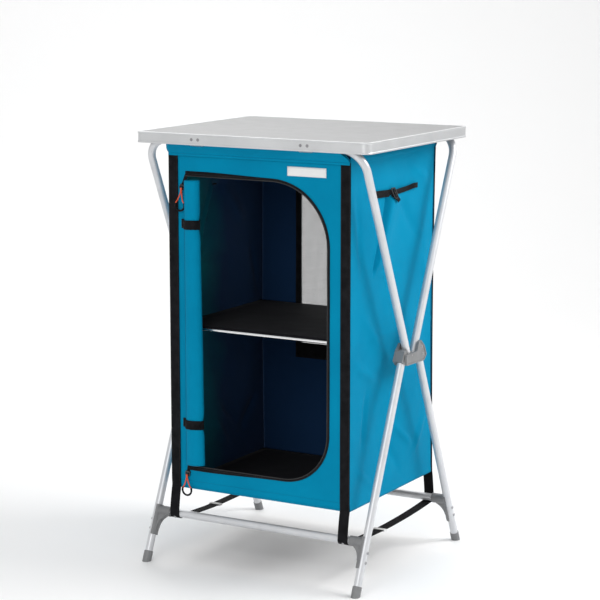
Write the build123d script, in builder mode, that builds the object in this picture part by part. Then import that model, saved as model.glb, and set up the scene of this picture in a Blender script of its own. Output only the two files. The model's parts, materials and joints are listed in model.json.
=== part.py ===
from build123d import *
from math import asin, atan2, cos, degrees, hypot, radians, sin
import os

os.makedirs("parts", exist_ok=True)

# A folding camping cupboard, in millimetres.
# X runs left to right, the doorway faces -Y, Z is up, and the origin is on the floor under the tabletop's middle.

# Tabletop
top_w = 600.0
top_d = 500.0
top_z = 1005.0
top_corner_r = 18.0
edge_h = 25.0
edge_wall = 1.6
edge_bead_h = 4.0
edge_channel_depth = 0.9
edge_lip_w = 7.0
edge_lip_t = 1.0
edge_ledge_w = 3.0
edge_ledge_t = 1.5
board_t = 4.0
board_gap = 0.2
board_rebate = 0.4

# Clips that hold the crossbars under the tabletop
clip_x = 140.0
clip_w = 32.0
clip_t = 1.5
clip_tip = 4.0
clip_top_drop = 8.0
clip_rivet_pitch = 17.0
clip_rivet_drop = 12.5
clip_rivet_r = 2.0
clip_rivet_head_r = 3.2
clip_rivet_head_h = 0.8

# Frame tubes
tube_r = 9.0
tube_wall = 1.2
leg_inset = 23.0
bend_r = 57.0
hub_z = 497.0
bar_edge_gap = 14.5
upper_offset = 9.9
upper_end = 6.0
foot_splay = 8.0
lower_offset = 37.3
lower_end = 4.0
lower_bar_z = 111.5
lower_bar_inset = 22.0
cap_r = 10.4
cap_len = 22.0
cap_floor = 2.0

# Hub brackets, pins and rivets
plate_t = 5.7
plate_gap = 0.3
plate_corner_r = 4.0
bracket_arm_reach = 45.0
bracket_arm_half = 12.0
bracket_lobe_top = 36.0
bracket_lobe_reach = 57.0
recess_depth = 1.2
recess_rim = 3.0
stop_gap = 0.4
seat_depth = 3.3
seat_half_w = 7.0
seat_len = 12.0
pin_r = 4.0
pin_clearance = 0.05
pin_shoulder_r = 5.5
pin_head_r = 7.5
pin_head_t = 3.2
pin_bore_depth = 4.2
hub_rivet_r = 2.2
hub_rivet_head_r = 4.0
hub_rivet_head_h = 1.4
hub_rivet_low = 14.0
hub_rivet_high = (34.5, 20.0)
seat_rivet_at = 13.0

# Elbows between the lower crossbars and the legs
elbow_arm = 39.0
elbow_arm_r = 11.6
saddle_r = 12.4
saddle_up = 13.0
saddle_down = 58.0
saddle_cut = 1.5
elbow_rivets = (22.0, 44.0)

# Fabric body
body_leg_gap = 44.0
body_top_gap = 42.0
body_bottom = 175.0
seam_drop = 45.0
side_drop = 28.0
hem_drop = 53.0
fabric_t = 1.6
fabric_gap = 0.3
sleeve_t = 1.2
sleeve_gap = 0.3
sleeve_inset = 19.0
base_t = 3.0
fold_mouth_up = 20.0
fold_tip_down = 177.0
fold_mouth_y = -56.0
fold_tip_y = -96.0
fold_mouth_w = 58.0
fold_tip_w = 12.0
fold_stand = 5.0

# Doorway and rear window
door_left_inset = 43.0
door_right_inset = 53.0
door_sill = 53.0
door_head = 52.0
door_top_r = 145.0
door_bottom_r = 115.0
window_side_inset = 107.0
window_sill = 280.0
window_head = 60.0
window_r = 20.0
net_border = 5.0
net_t = 1.0
net_columns = 10
net_rows = 18
net_cord = 3.0

# Shelf
shelf_z = 552.0
shelf_rod_r = 4.0
shelf_rod_inset = 18.0
shelf_t = 1.5
shelf_hem = 4.0

# Webbing
strap_w = 25.0
strap_t = 1.5
strap_inset = 10.0
strap_top_drop = 2.0
slide_y = -45.0
slide_len = 12.0
slide_wall = 3.0
slide_t = 1.2
tension_drop = 93.0
tension_w = 20.0
tension_t = 1.2
tension_rise = 8.0
tension_seam_gap = 6.0
tension_tail = 112.0
lock_len = 20.0
lock_h = 26.0
lock_t = 4.0
lock_slot = 3.4

# Rolled door, its ties and its zip
roll_w = 41.0
roll_d = 27.0
roll_stand = 7.0
roll_sill_gap = 8.0
roll_head_gap = 11.0
roll_step = 3.0
roll_waist = 0.86
tie_t = 1.2
tie_h = 21.0
tie_tab = 12.0
top_tie_drop = 112.0
bottom_tie_rise = 104.0
roll_swell = 80.0
zip_w = 8.0
zip_t = 1.4
zip_tail_w = 8.6
zip_gap = 0.3
slider_len = 12.0
slider_cheek = 1.6
slider_t = 2.2
bail_r = 1.0
bail_gap = 0.06
bail_stand = 2.6
bail_eye_r = 2.3
eye_half_w = 2.2
ear_t = 1.4
ear_drop = 3.0
tab_len = 22.0
tab_w = 8.0
tab_t = 3.0
loop_wire_r = 1.7
loop_sink = 0.9
top_loop_r = 7.0
bottom_loop_r = 11.5

# Sizes that follow from the ones above
edge_z = top_z - edge_h
board_top = top_z - edge_lip_t
board_under = board_top - board_t
ledge_under = board_under - edge_ledge_t
upper_bar_y = top_d / 2 - bar_edge_gap
upper_bar_z = board_under - fabric_gap - sleeve_t - sleeve_gap - tube_r
upper_lean = atan2(upper_bar_y, upper_bar_z - hub_z) - asin(
    upper_offset / hypot(upper_bar_y, upper_bar_z - hub_z)
)
leg_x = top_w / 2 - leg_inset
foot_y = top_d / 2 + foot_splay
lower_lean = atan2(foot_y, hub_z) - asin(lower_offset / hypot(foot_y, hub_z))
lower_bar_reach = leg_x - lower_bar_inset
elbow_arm_x = leg_x - elbow_arm
plate_outer_face = leg_x + tube_r + plate_gap
plate_inner_face = leg_x - tube_r - plate_gap
wall_y = top_d / 2 - body_top_gap
wall_x = leg_x - body_leg_gap
inner_y = wall_y - fabric_t
inner_x = wall_x - fabric_t
seam_z = top_z - seam_drop
side_top = top_z - side_drop
sleeve_hem_z = top_z - hem_drop
sleeve_half = wall_x - sleeve_inset
door_left = door_left_inset - wall_x
door_right = wall_x - door_right_inset
door_bottom = body_bottom + door_sill
door_top = seam_z - door_head
window_half_w = wall_x - window_side_inset
window_bottom = body_bottom + window_sill
window_top = seam_z - window_head
shelf_rod_y = wall_y - shelf_rod_inset
strap_x = wall_x - strap_inset
strap_top = seam_z - strap_top_drop
tension_z = seam_z - tension_drop
roll_y = -wall_y - roll_stand
roll_bottom = door_bottom + roll_sill_gap
roll_top = door_top - roll_head_gap
tie_z = (door_top - top_tie_drop, door_bottom + bottom_tie_rise)


def upper_at(t, side):
    """A point on the upper tube's axis, t above the foot of the perpendicular from the hub pin."""
    y = upper_offset * cos(upper_lean) + t * sin(upper_lean)
    z = hub_z - upper_offset * sin(upper_lean) + t * cos(upper_lean)
    return side * y, z


def lower_at(t, side):
    """A point on the lower leg's axis, t below the foot of the perpendicular from the hub pin."""
    y = lower_offset * cos(lower_lean) + t * sin(lower_lean)
    z = hub_z + lower_offset * sin(lower_lean) - t * cos(lower_lean)
    return side * y, z


def lower_t(z):
    """How far down the lower leg's axis the height z lies."""
    return (hub_z + lower_offset * sin(lower_lean) - z) / cos(lower_lean)


lower_bar_t = lower_t(lower_bar_z)
lower_bar_y = lower_at(lower_bar_t, 1)[0]


def save(piece, name):
    piece.part.label = name
    export_step(piece.part, f"parts/{name}.step")


def side_name(hand):
    return "right" if hand > 0 else "left"


def down_the_leg(side, hand, t):
    """A plane on the lower leg's axis that faces along the leg, towards the foot."""
    y, z = lower_at(t, side)
    return Plane(
        origin=(hand * leg_x, y, z),
        x_dir=(1, 0, 0),
        z_dir=(0, side * sin(lower_lean), -cos(lower_lean)),
    )


def across(x, y, z, hand=1):
    """A plane that faces along X, away from the middle on the given hand."""
    return Plane(origin=(x, y, z), x_dir=(0, hand, 0), z_dir=(hand, 0, 0))


# Tabletop: a thin board held in an aluminium edge profile with two beads and a shallow channel
def rim(inset, z):
    with BuildSketch(Plane.XY.offset(z)) as outline:
        RectangleRounded(top_w - 2 * inset, top_d - 2 * inset, top_corner_r - min(inset, edge_lip_w))
    return outline.sketch


def clip_rivet_points():
    for side in (-1, 1):
        for clip in (-clip_x, clip_x):
            for half in (-clip_rivet_pitch / 2, clip_rivet_pitch / 2):
                yield clip + half, side


with BuildPart() as tabletop_edge:
    add(rim(0, edge_z))
    extrude(amount=edge_h)
    add(rim(edge_wall, edge_z))
    extrude(amount=ledge_under - edge_z, mode=Mode.SUBTRACT)
    add(rim(edge_wall + edge_ledge_w, ledge_under))
    extrude(amount=edge_ledge_t, mode=Mode.SUBTRACT)
    add(rim(edge_wall, board_under))
    extrude(amount=board_t, mode=Mode.SUBTRACT)
    add(rim(edge_lip_w, board_top))
    extrude(amount=edge_lip_t, mode=Mode.SUBTRACT)
    with BuildSketch(Plane.XY.offset(edge_z + edge_bead_h)):
        RectangleRounded(top_w + 2, top_d + 2, top_corner_r + 1)
        RectangleRounded(
            top_w - 2 * edge_channel_depth,
            top_d - 2 * edge_channel_depth,
            top_corner_r - edge_channel_depth,
            mode=Mode.SUBTRACT,
        )
    extrude(amount=edge_h - 2 * edge_bead_h, mode=Mode.SUBTRACT)
    for x, side in clip_rivet_points():
        with BuildSketch(Plane(origin=(x, side * top_d / 2, top_z - clip_rivet_drop), z_dir=(0, -side, 0))):
            Circle(clip_rivet_r)
        extrude(amount=edge_wall + 1, mode=Mode.SUBTRACT)
save(tabletop_edge, "tabletop_edge")

with BuildPart() as tabletop_board:
    with BuildSketch(Plane.XY.offset(board_under)):
        inset = edge_wall + board_gap
        RectangleRounded(top_w - 2 * inset, top_d - 2 * inset, top_corner_r - inset)
    extrude(amount=board_t)
    with BuildSketch(Plane.XY.offset(board_top)):
        inset = edge_lip_w + board_gap
        RectangleRounded(top_w - 2 * inset, top_d - 2 * inset, top_corner_r - inset)
    extrude(amount=board_rebate)
save(tabletop_board, "tabletop_board")

clip_line_y = top_d / 2 - edge_wall - clip_t / 2
clip_hook_r = clip_line_y - upper_bar_y


def clips(side):
    with BuildPart() as pair:
        for x in (-clip_x, clip_x):
            with BuildSketch(Plane.YZ.offset(x - clip_w / 2)):
                with BuildLine():
                    Polyline(
                        (side * clip_line_y, top_z - clip_top_drop),
                        (side * clip_line_y, upper_bar_z),
                    )
                    ThreePointArc(
                        (side * clip_line_y, upper_bar_z),
                        (
                            side * (upper_bar_y + clip_hook_r * cos(radians(45))),
                            upper_bar_z - clip_hook_r * sin(radians(45)),
                        ),
                        (side * upper_bar_y, upper_bar_z - clip_hook_r),
                    )
                    Polyline(
                        (side * upper_bar_y, upper_bar_z - clip_hook_r),
                        (side * (upper_bar_y - clip_tip), upper_bar_z - clip_hook_r),
                    )
                trace(line_width=clip_t)
            extrude(amount=clip_w)
        for x, rivet_side in clip_rivet_points():
            if rivet_side == side:
                with BuildSketch(
                    Plane(origin=(x, side * top_d / 2, top_z - clip_rivet_drop), z_dir=(0, -side, 0))
                ):
                    Circle(clip_rivet_r)
                extrude(amount=edge_wall + clip_t + 1, mode=Mode.SUBTRACT)
    return pair


save(clips(-1), "clips_front")
save(clips(1), "clips_rear")

with BuildPart() as clip_rivets:
    outer_y = top_d / 2 - edge_channel_depth
    tail_y = top_d / 2 - edge_wall - clip_t
    for x, side in clip_rivet_points():
        z = top_z - clip_rivet_drop
        with BuildSketch(Plane(origin=(x, side * (outer_y + clip_rivet_head_h), z), z_dir=(0, -side, 0))):
            Circle(clip_rivet_head_r)
        extrude(amount=clip_rivet_head_h, taper=-30)
        with BuildSketch(Plane(origin=(x, side * outer_y, z), z_dir=(0, -side, 0))):
            Circle(clip_rivet_r)
        extrude(amount=outer_y - tail_y + clip_rivet_head_h / 2)
        with BuildSketch(Plane(origin=(x, side * tail_y, z), z_dir=(0, -side, 0))):
            Circle(clip_rivet_r + 0.6)
        extrude(amount=clip_rivet_head_h / 2)
save(clip_rivets, "clip_rivets")


# Frame: two members that cross at the hubs. The front member has the front upper frame and the rear legs.
def upper_frame(side):
    end_y, end_z = upper_at(upper_end, side)
    rivet_y, rivet_z = upper_at(seat_rivet_at, side)
    corners = [
        (-leg_x, end_y, end_z),
        (-leg_x, side * upper_bar_y, upper_bar_z),
        (leg_x, side * upper_bar_y, upper_bar_z),
        (leg_x, end_y, end_z),
    ]
    outward = 1 if side < 0 else -1
    with BuildPart() as frame:
        with BuildLine() as path:
            FilletPolyline(*corners, radius=bend_r)
        with BuildSketch(Plane(origin=path.line @ 0, z_dir=path.line % 0)):
            Circle(tube_r)
            Circle(tube_r - tube_wall, mode=Mode.SUBTRACT)
        sweep()
        for hand in (-1, 1):
            with BuildSketch(across(hand * leg_x, rivet_y, rivet_z, hand * outward)):
                Circle(hub_rivet_r)
            extrude(amount=tube_r + 1, mode=Mode.SUBTRACT)
    return frame


def leg(side, hand):
    foot_t = lower_t(cap_floor + tube_r * sin(lower_lean))
    holes = [hub_rivet_low] + [lower_bar_t + down for down in elbow_rivets]
    with BuildPart() as tube:
        with BuildSketch(down_the_leg(side, hand, lower_end)):
            Circle(tube_r)
            Circle(tube_r - tube_wall, mode=Mode.SUBTRACT)
        extrude(amount=foot_t - lower_end)
        for t in holes:
            y, z = lower_at(t, side)
            with BuildSketch(across(hand * leg_x, y, z)):
                Circle(hub_rivet_r)
            extrude(amount=tube_r + 1, both=True, mode=Mode.SUBTRACT)
    return tube


def foot_cap(side, hand):
    foot_t = lower_t(cap_floor + tube_r * sin(lower_lean))
    top_t = lower_t(cap_len)
    with BuildPart() as cap:
        with BuildSketch(down_the_leg(side, hand, top_t)):
            Circle(cap_r)
        extrude(amount=cap_len * 1.5)
        chamfer(cap.edges().sort_by(Axis.Z)[-1], 1.0)
        with BuildSketch(down_the_leg(side, hand, top_t)):
            Circle(tube_r)
        extrude(amount=foot_t - top_t, mode=Mode.SUBTRACT)
        split(bisect_by=Plane.XY, keep=Keep.TOP)
    return cap


def lower_crossbar(side):
    with BuildPart() as bar:
        with BuildSketch(across(-lower_bar_reach, side * lower_bar_y, lower_bar_z)):
            Circle(tube_r)
            Circle(tube_r - tube_wall, mode=Mode.SUBTRACT)
        extrude(amount=2 * lower_bar_reach)
    return bar


def elbow(side, hand):
    y = side * lower_bar_y
    gusset_plane = Plane(
        origin=(hand * leg_x, y, lower_bar_z),
        x_dir=(-hand, 0, 0),
        z_dir=(0, -hand * cos(lower_lean), -hand * side * sin(lower_lean)),
    )
    drop = -1 if gusset_plane.y_dir.Z > 0 else 1
    arm = leg_x - elbow_arm_x
    with BuildPart() as piece:
        with BuildSketch(down_the_leg(side, hand, lower_bar_t - saddle_up)):
            Circle(saddle_r)
        extrude(amount=saddle_up + saddle_down)
        with BuildSketch(across(hand * elbow_arm_x, y, lower_bar_z, hand)):
            Circle(elbow_arm_r)
        extrude(amount=arm)
        with BuildSketch(gusset_plane):
            with BuildLine():
                Line((0, 0), (arm * 0.75, 0))
                Line((arm * 0.75, 0), (arm * 0.75, drop * elbow_arm_r * 0.9))
                ThreePointArc(
                    (arm * 0.75, drop * elbow_arm_r * 0.9),
                    (arm * 0.48, drop * elbow_arm_r * 1.7),
                    (saddle_r * 0.9, drop * saddle_down * 0.72),
                )
                Line((saddle_r * 0.9, drop * saddle_down * 0.72), (0, drop * saddle_down * 0.72))
                Line((0, drop * saddle_down * 0.72), (0, 0))
            make_face()
        extrude(amount=elbow_arm_r * 0.62, both=True)
        with BuildSketch(down_the_leg(side, hand, lower_bar_t - 2 * saddle_up)):
            Circle(tube_r)
        extrude(amount=2 * saddle_down, mode=Mode.SUBTRACT)
        with BuildSketch(across(hand * elbow_arm_x, y, lower_bar_z, hand)):
            Circle(tube_r)
        extrude(amount=lower_bar_reach - elbow_arm_x, mode=Mode.SUBTRACT)
        with BuildSketch(across(hand * (leg_x - saddle_cut), y, lower_bar_z, hand)):
            Rectangle(4 * saddle_down, 4 * saddle_down)
        extrude(amount=2 * saddle_r, mode=Mode.SUBTRACT)
        for down in elbow_rivets:
            rivet_y, rivet_z = lower_at(lower_bar_t + down, side)
            with BuildSketch(across(hand * leg_x, rivet_y, rivet_z, -hand)):
                Circle(hub_rivet_r)
            extrude(amount=2 * saddle_r, mode=Mode.SUBTRACT)
    return piece


def rivet(x, y, z, tail_x, outward):
    """A rivet along X whose domed head seats on the plane at x and whose shank runs to tail_x."""
    with BuildPart() as piece:
        with BuildSketch(across(x, y, z, outward)):
            Circle(hub_rivet_head_r)
        extrude(amount=hub_rivet_head_h, taper=35)
        with BuildSketch(across(x, y, z, outward)):
            Circle(hub_rivet_r)
        extrude(amount=-abs(x - tail_x))
    return piece.part


def elbow_rivet_group(side):
    with BuildPart() as group:
        for hand in (-1, 1):
            for down in elbow_rivets:
                y, z = lower_at(lower_bar_t + down, side)
                add(rivet(hand * (leg_x + tube_r), y, z, hand * (leg_x - saddle_r + 1), hand))
    return group


# Hub brackets: a plate beside the tubes, a socket for the leg's end and a seat for the upper tube's end
def bracket_plane(outer, hand, x):
    """A plane through the hub pin, turned so that a positive extrusion leads away from the tubes."""
    side = 1 if outer else -1
    return Plane(origin=(hand * x, 0, hub_z), x_dir=(0, side, 0), z_dir=(side, 0, 0))


def bracket_outline(inset):
    reach, half = bracket_arm_reach, bracket_arm_half
    with BuildSketch() as outline:
        with BuildLine():
            Polyline(
                (-reach, -half),
                (-reach, half),
                (8, half + 1),
                (17, bracket_lobe_top - 3),
                (28, bracket_lobe_top),
                (bracket_lobe_reach - 11, bracket_lobe_top - 16),
                (bracket_lobe_reach, -2),
                (bracket_lobe_reach - 13, -half - 2),
                (30, -half - 2),
                (-reach, -half),
            )
        make_face()
        fillet(outline.vertices(), plate_corner_r)
        if inset:
            offset(amount=-inset, kind=Kind.INTERSECTION, mode=Mode.REPLACE)
    return outline.sketch


def socket_outline():
    """The socket stops short of the other member's upper tube, which rests against it when the frame is open."""
    away = upper_offset + tube_r + stop_gap

    def along(t):
        return away * cos(upper_lean) + t * sin(upper_lean), -away * sin(upper_lean) + t * cos(upper_lean)

    with BuildSketch() as outline:
        with BuildLine():
            Polyline(
                along(8),
                along(34),
                (bracket_lobe_reach - 12, bracket_lobe_top - 16),
                (bracket_lobe_reach - 1, -2),
                (bracket_lobe_reach - 13, -bracket_arm_half - 1),
                (27, -bracket_arm_half - 1),
                along(8),
            )
        make_face()
    return outline.sketch


def bracket(outer, hand):
    face = plate_outer_face if outer else plate_inner_face
    step = 1 if outer else -1
    leg_side = 1 if outer else -1
    seat_y, seat_z = upper_at(upper_end + 1 + seat_len / 2, -leg_side)
    with BuildPart() as piece:
        with BuildSketch(bracket_plane(outer, hand, face)):
            add(bracket_outline(0))
        extrude(amount=hand * plate_t)
        with BuildSketch(bracket_plane(outer, hand, face)):
            add(socket_outline())
        extrude(amount=-hand * (2 * tube_r - plate_gap))
        seat = across(hand * face, seat_y, seat_z, hand)
        lean = degrees(upper_lean) * (1 if leg_side > 0 else -1) * hand
        with BuildSketch(seat):
            Rectangle(2 * seat_half_w, seat_len, rotation=lean)
        extrude(amount=-step * seat_depth)
        with BuildSketch(bracket_plane(outer, hand, face + step * plate_t)):
            add(bracket_outline(recess_rim))
        extrude(amount=-hand * recess_depth, mode=Mode.SUBTRACT)
        with BuildSketch(down_the_leg(leg_side, hand, lower_end)):
            Circle(tube_r)
        extrude(amount=2 * bracket_lobe_reach, mode=Mode.SUBTRACT)
        start_y, start_z = upper_at(upper_end, -leg_side)
        with BuildSketch(
            Plane(
                origin=(hand * leg_x, start_y, start_z),
                z_dir=(0, -leg_side * sin(upper_lean), cos(upper_lean)),
            )
        ):
            Circle(tube_r)
        extrude(amount=bracket_lobe_reach, mode=Mode.SUBTRACT)
        with BuildSketch(bracket_plane(outer, hand, face)):
            Circle(pin_r + pin_clearance)
        extrude(amount=hand * (pin_bore_depth if outer else plate_t), mode=Mode.SUBTRACT)
        holes = [
            lower_at(hub_rivet_low, leg_side),
            (leg_side * hub_rivet_high[0], hub_z + hub_rivet_high[1]),
            upper_at(seat_rivet_at, -leg_side),
        ]
        for y, z in holes:
            with BuildSketch(across(hand * face, y, z)):
                Circle(hub_rivet_r)
            extrude(amount=plate_t + 2, both=True, mode=Mode.SUBTRACT)
        low_y, low_z = holes[0]
        with BuildSketch(across(hand * face, low_y, low_z, hand)):
            Circle(hub_rivet_r)
        extrude(amount=-step * 2 * tube_r, mode=Mode.SUBTRACT)
    return piece


def bracket_rivet_group(outer):
    leg_side = 1 if outer else -1
    step = 1 if outer else -1
    face = plate_outer_face if outer else plate_inner_face
    recess_floor = face + step * (plate_t - recess_depth)
    with BuildPart() as group:
        for hand in (-1, 1):
            low_y, low_z = lower_at(hub_rivet_low, leg_side)
            high_y, high_z = leg_side * hub_rivet_high[0], hub_z + hub_rivet_high[1]
            low_tail = face - step * 2 * (tube_r - 1)
            add(rivet(hand * recess_floor, low_y, low_z, hand * low_tail, hand * step))
            add(rivet(hand * recess_floor, high_y, high_z, hand * (face - step), hand * step))
            seat_y, seat_z = upper_at(seat_rivet_at, -leg_side)
            with BuildSketch(across(hand * recess_floor, seat_y, seat_z, hand * step)):
                Circle(hub_rivet_r)
            extrude(amount=-(plate_t - recess_depth + plate_gap + 3 * tube_wall))
    return group


def hub_pin(hand):
    head_x = plate_inner_face - plate_t - pin_clearance
    tip_x = plate_outer_face + pin_bore_depth - plate_gap
    with BuildPart() as pin:
        with BuildSketch(across(hand * (head_x - pin_head_t), 0, hub_z, hand)):
            Circle(pin_head_r)
        extrude(amount=pin_head_t)
        chamfer(pin.edges().sort_by(Axis.X)[0 if hand > 0 else -1], 1.2)
        with BuildSketch(across(hand * head_x, 0, hub_z, hand)):
            Circle(pin_r)
        extrude(amount=tip_x - head_x)
        with BuildSketch(across(hand * (plate_inner_face + plate_gap), 0, hub_z, hand)):
            Circle(pin_shoulder_r)
        extrude(amount=plate_outer_face - plate_inner_face - 2 * plate_gap)
    return pin


save(upper_frame(-1), "front_upper_frame")
save(upper_frame(1), "rear_upper_frame")
for side, end in ((-1, "front"), (1, "rear")):
    save(lower_crossbar(side), f"{end}_crossbar")
    save(elbow_rivet_group(side), f"{end}_elbow_rivets")
    for hand in (-1, 1):
        save(leg(side, hand), f"{end}_leg_{side_name(hand)}")
        save(foot_cap(side, hand), f"{end}_foot_{side_name(hand)}")
        save(elbow(side, hand), f"{end}_elbow_{side_name(hand)}")
for outer, ring in ((True, "outer"), (False, "inner")):
    save(bracket_rivet_group(outer), f"{ring}_bracket_rivets")
    for hand in (-1, 1):
        save(bracket(outer, hand), f"{ring}_bracket_{side_name(hand)}")
for hand in (-1, 1):
    save(hub_pin(hand), f"hub_pin_{side_name(hand)}")


# Fabric body
def doorway(grow):
    """The doorway's outline, square on the left where the door is rolled up and rounded on the right."""
    top_r, bottom_r = door_top_r + grow, door_bottom_r + grow
    left, right = door_left - grow, door_right + grow
    bottom, top = door_bottom - grow, door_top + grow
    with BuildSketch(Plane.XZ) as outline:
        with BuildLine():
            Line((left, bottom), (left, top))
            Line((left, top), (right - top_r, top))
            RadiusArc((right - top_r, top), (right, top - top_r), top_r)
            Line((right, top - top_r), (right, bottom + bottom_r))
            RadiusArc((right, bottom + bottom_r), (right - bottom_r, bottom), bottom_r)
            Line((right - bottom_r, bottom), (left, bottom))
        make_face()
    return outline.sketch


def wall_sketch(y):
    """A plane across the body at y that faces -Y, with X to the right and Z up."""
    return Plane(origin=(0, y, 0), x_dir=(1, 0, 0), z_dir=(0, -1, 0))


with BuildPart() as front_panel:
    with BuildSketch(wall_sketch(-inner_y)):
        with Locations((0, (seam_z + body_bottom) / 2)):
            Rectangle(2 * wall_x, seam_z - body_bottom)
        add(Plane.XZ.to_local_coords(doorway(0)), mode=Mode.SUBTRACT)
    extrude(amount=fabric_t)
save(front_panel, "front_panel")

window_mid = (window_top + window_bottom) / 2
window_h = window_top - window_bottom
with BuildPart() as rear_panel:
    with BuildSketch(wall_sketch(wall_y)):
        with Locations((0, (seam_z + body_bottom) / 2)):
            Rectangle(2 * wall_x, seam_z - body_bottom)
        with Locations((0, window_mid)):
            RectangleRounded(2 * window_half_w, window_h, window_r, mode=Mode.SUBTRACT)
    extrude(amount=fabric_t)
save(rear_panel, "rear_panel")

net_w = 2 * (window_half_w + net_border)
net_h = window_h + 2 * net_border
cell_w = (2 * window_half_w - net_border) / net_columns
cell_h = (window_h - net_border) / net_rows
with BuildPart() as rear_mesh:
    with BuildSketch(wall_sketch(inner_y)):
        with Locations((0, window_mid)):
            Rectangle(net_w, net_h)
            with GridLocations(cell_w, cell_h, net_columns, net_rows):
                Rectangle(cell_w - net_cord, cell_h - net_cord, mode=Mode.SUBTRACT)
    extrude(amount=net_t)
save(rear_mesh, "rear_mesh")


def fold_section(hand, z, start_y, width, stand):
    """The fold's outline at one height: it rises steeply at its front and dies away towards the rear."""
    foot_x = wall_x - fabric_t / 2
    with BuildSketch(Plane.XY.offset(z)) as section:
        with BuildLine():
            Polyline(
                (hand * foot_x, start_y),
                (hand * (wall_x + stand), start_y + width * 0.4),
                (hand * (wall_x + stand / 2), start_y + width * 0.75),
                (hand * foot_x, start_y + width),
                (hand * foot_x, start_y),
            )
        make_face()
    return section.sketch


def side_panel(hand):
    """A flat side with the long tapering fold that its tension strap pulls into the cloth."""
    with BuildPart() as panel:
        with BuildSketch(across(hand * inner_x, 0, 0)):
            with Locations((0, (side_top + body_bottom) / 2)):
                Rectangle(2 * inner_y - 2 * fabric_gap, side_top - body_bottom)
        extrude(amount=hand * fabric_t)
        add(fold_section(hand, tension_z - fold_mouth_up, fold_mouth_y, fold_mouth_w, fold_stand))
        add(fold_section(hand, tension_z - fold_tip_down, fold_tip_y, fold_tip_w, fold_stand / 8))
        loft()
    return panel


for hand in (-1, 1):
    save(side_panel(hand), f"side_panel_{side_name(hand)}")

with BuildPart() as base_panel:
    with BuildSketch(Plane.XY.offset(body_bottom)):
        Rectangle(2 * (inner_x - fabric_gap), 2 * (inner_y - fabric_gap))
    extrude(amount=base_t)
save(base_panel, "base_panel")


def sleeve(side):
    """Cloth that loops over an upper crossbar and comes down as a hem over the top seam and the strap ends."""
    hem_y = wall_y + strap_t + sleeve_t / 2 + 0.1
    web = radians(220)
    with BuildPart() as piece:
        with BuildSketch(Plane.YZ.offset(-sleeve_half)):
            with Locations((side * upper_bar_y, upper_bar_z)):
                Circle(tube_r + sleeve_gap + sleeve_t)
            with BuildLine():
                Polyline(
                    (
                        side * (upper_bar_y + (tube_r + sleeve_gap + sleeve_t / 2) * cos(web)),
                        upper_bar_z + (tube_r + sleeve_gap + sleeve_t / 2) * sin(web),
                    ),
                    (side * hem_y, seam_z + 4),
                    (side * hem_y, sleeve_hem_z),
                )
            trace(line_width=sleeve_t)
            with Locations((side * upper_bar_y, upper_bar_z)):
                Circle(tube_r + sleeve_gap, mode=Mode.SUBTRACT)
        extrude(amount=2 * sleeve_half)
    return piece


save(sleeve(-1), "front_sleeve")
save(sleeve(1), "rear_sleeve")


# Shelf: cloth over a rod at the front and a rod at the rear
def shelf_rod(side):
    with BuildPart() as rod:
        with BuildSketch(across(-inner_x + fabric_gap, side * shelf_rod_y, shelf_z)):
            Circle(shelf_rod_r)
        extrude(amount=2 * (inner_x - fabric_gap))
    return rod


save(shelf_rod(-1), "shelf_rod_front")
save(shelf_rod(1), "shelf_rod_rear")

with BuildPart() as shelf_deck:
    with BuildSketch(Plane.XY.offset(shelf_z + shelf_rod_r + fabric_gap)):
        Rectangle(2 * (inner_x - fabric_gap), 2 * (shelf_rod_y + shelf_hem))
    extrude(amount=shelf_t)
save(shelf_deck, "shelf_deck")


# Webbing down each corner, round the lower crossbars and along under the body
strap_round_r = tube_r + fabric_gap + strap_t / 2
strap_face_y = wall_y + strap_t / 2


def corner_strap(side, hand):
    bar_y = side * lower_bar_y
    with BuildPart() as strap:
        with BuildSketch(Plane.YZ.offset(hand * strap_x - strap_w / 2)):
            with BuildLine():
                Polyline(
                    (side * strap_face_y, strap_top),
                    (side * strap_face_y, body_bottom + 3),
                    (bar_y + side * strap_round_r, lower_bar_z),
                )
                ThreePointArc(
                    (bar_y + side * strap_round_r, lower_bar_z),
                    (
                        bar_y + side * strap_round_r * cos(radians(45)),
                        lower_bar_z - strap_round_r * sin(radians(45)),
                    ),
                    (bar_y, lower_bar_z - strap_round_r),
                )
            trace(line_width=strap_t)
        extrude(amount=strap_w)
    return strap


for side, end in ((-1, "front"), (1, "rear")):
    for hand in (-1, 1):
        save(corner_strap(side, hand), f"{end}_strap_{side_name(hand)}")

side_strap_z = lower_bar_z - strap_round_r


def side_strap(hand):
    with BuildPart() as strap:
        with BuildSketch(Plane.XY.offset(side_strap_z - strap_t / 2)):
            with Locations((hand * strap_x, 0)):
                Rectangle(strap_w, 2 * lower_bar_y)
        extrude(amount=strap_t)
    return strap


for hand in (-1, 1):
    save(side_strap(hand), f"side_strap_{side_name(hand)}")

with BuildPart() as strap_slides:
    for hand in (-1, 1):
        with BuildSketch(Plane(origin=(hand * strap_x, slide_y, side_strap_z), x_dir=(1, 0, 0), z_dir=(0, 1, 0))):
            Rectangle(strap_w + 2 * slide_wall, strap_t + 2 * (fabric_gap + slide_t))
            Rectangle(strap_w + 2 * fabric_gap, strap_t + 2 * fabric_gap, mode=Mode.SUBTRACT)
        extrude(amount=slide_len)
save(strap_slides, "strap_slides")

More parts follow.
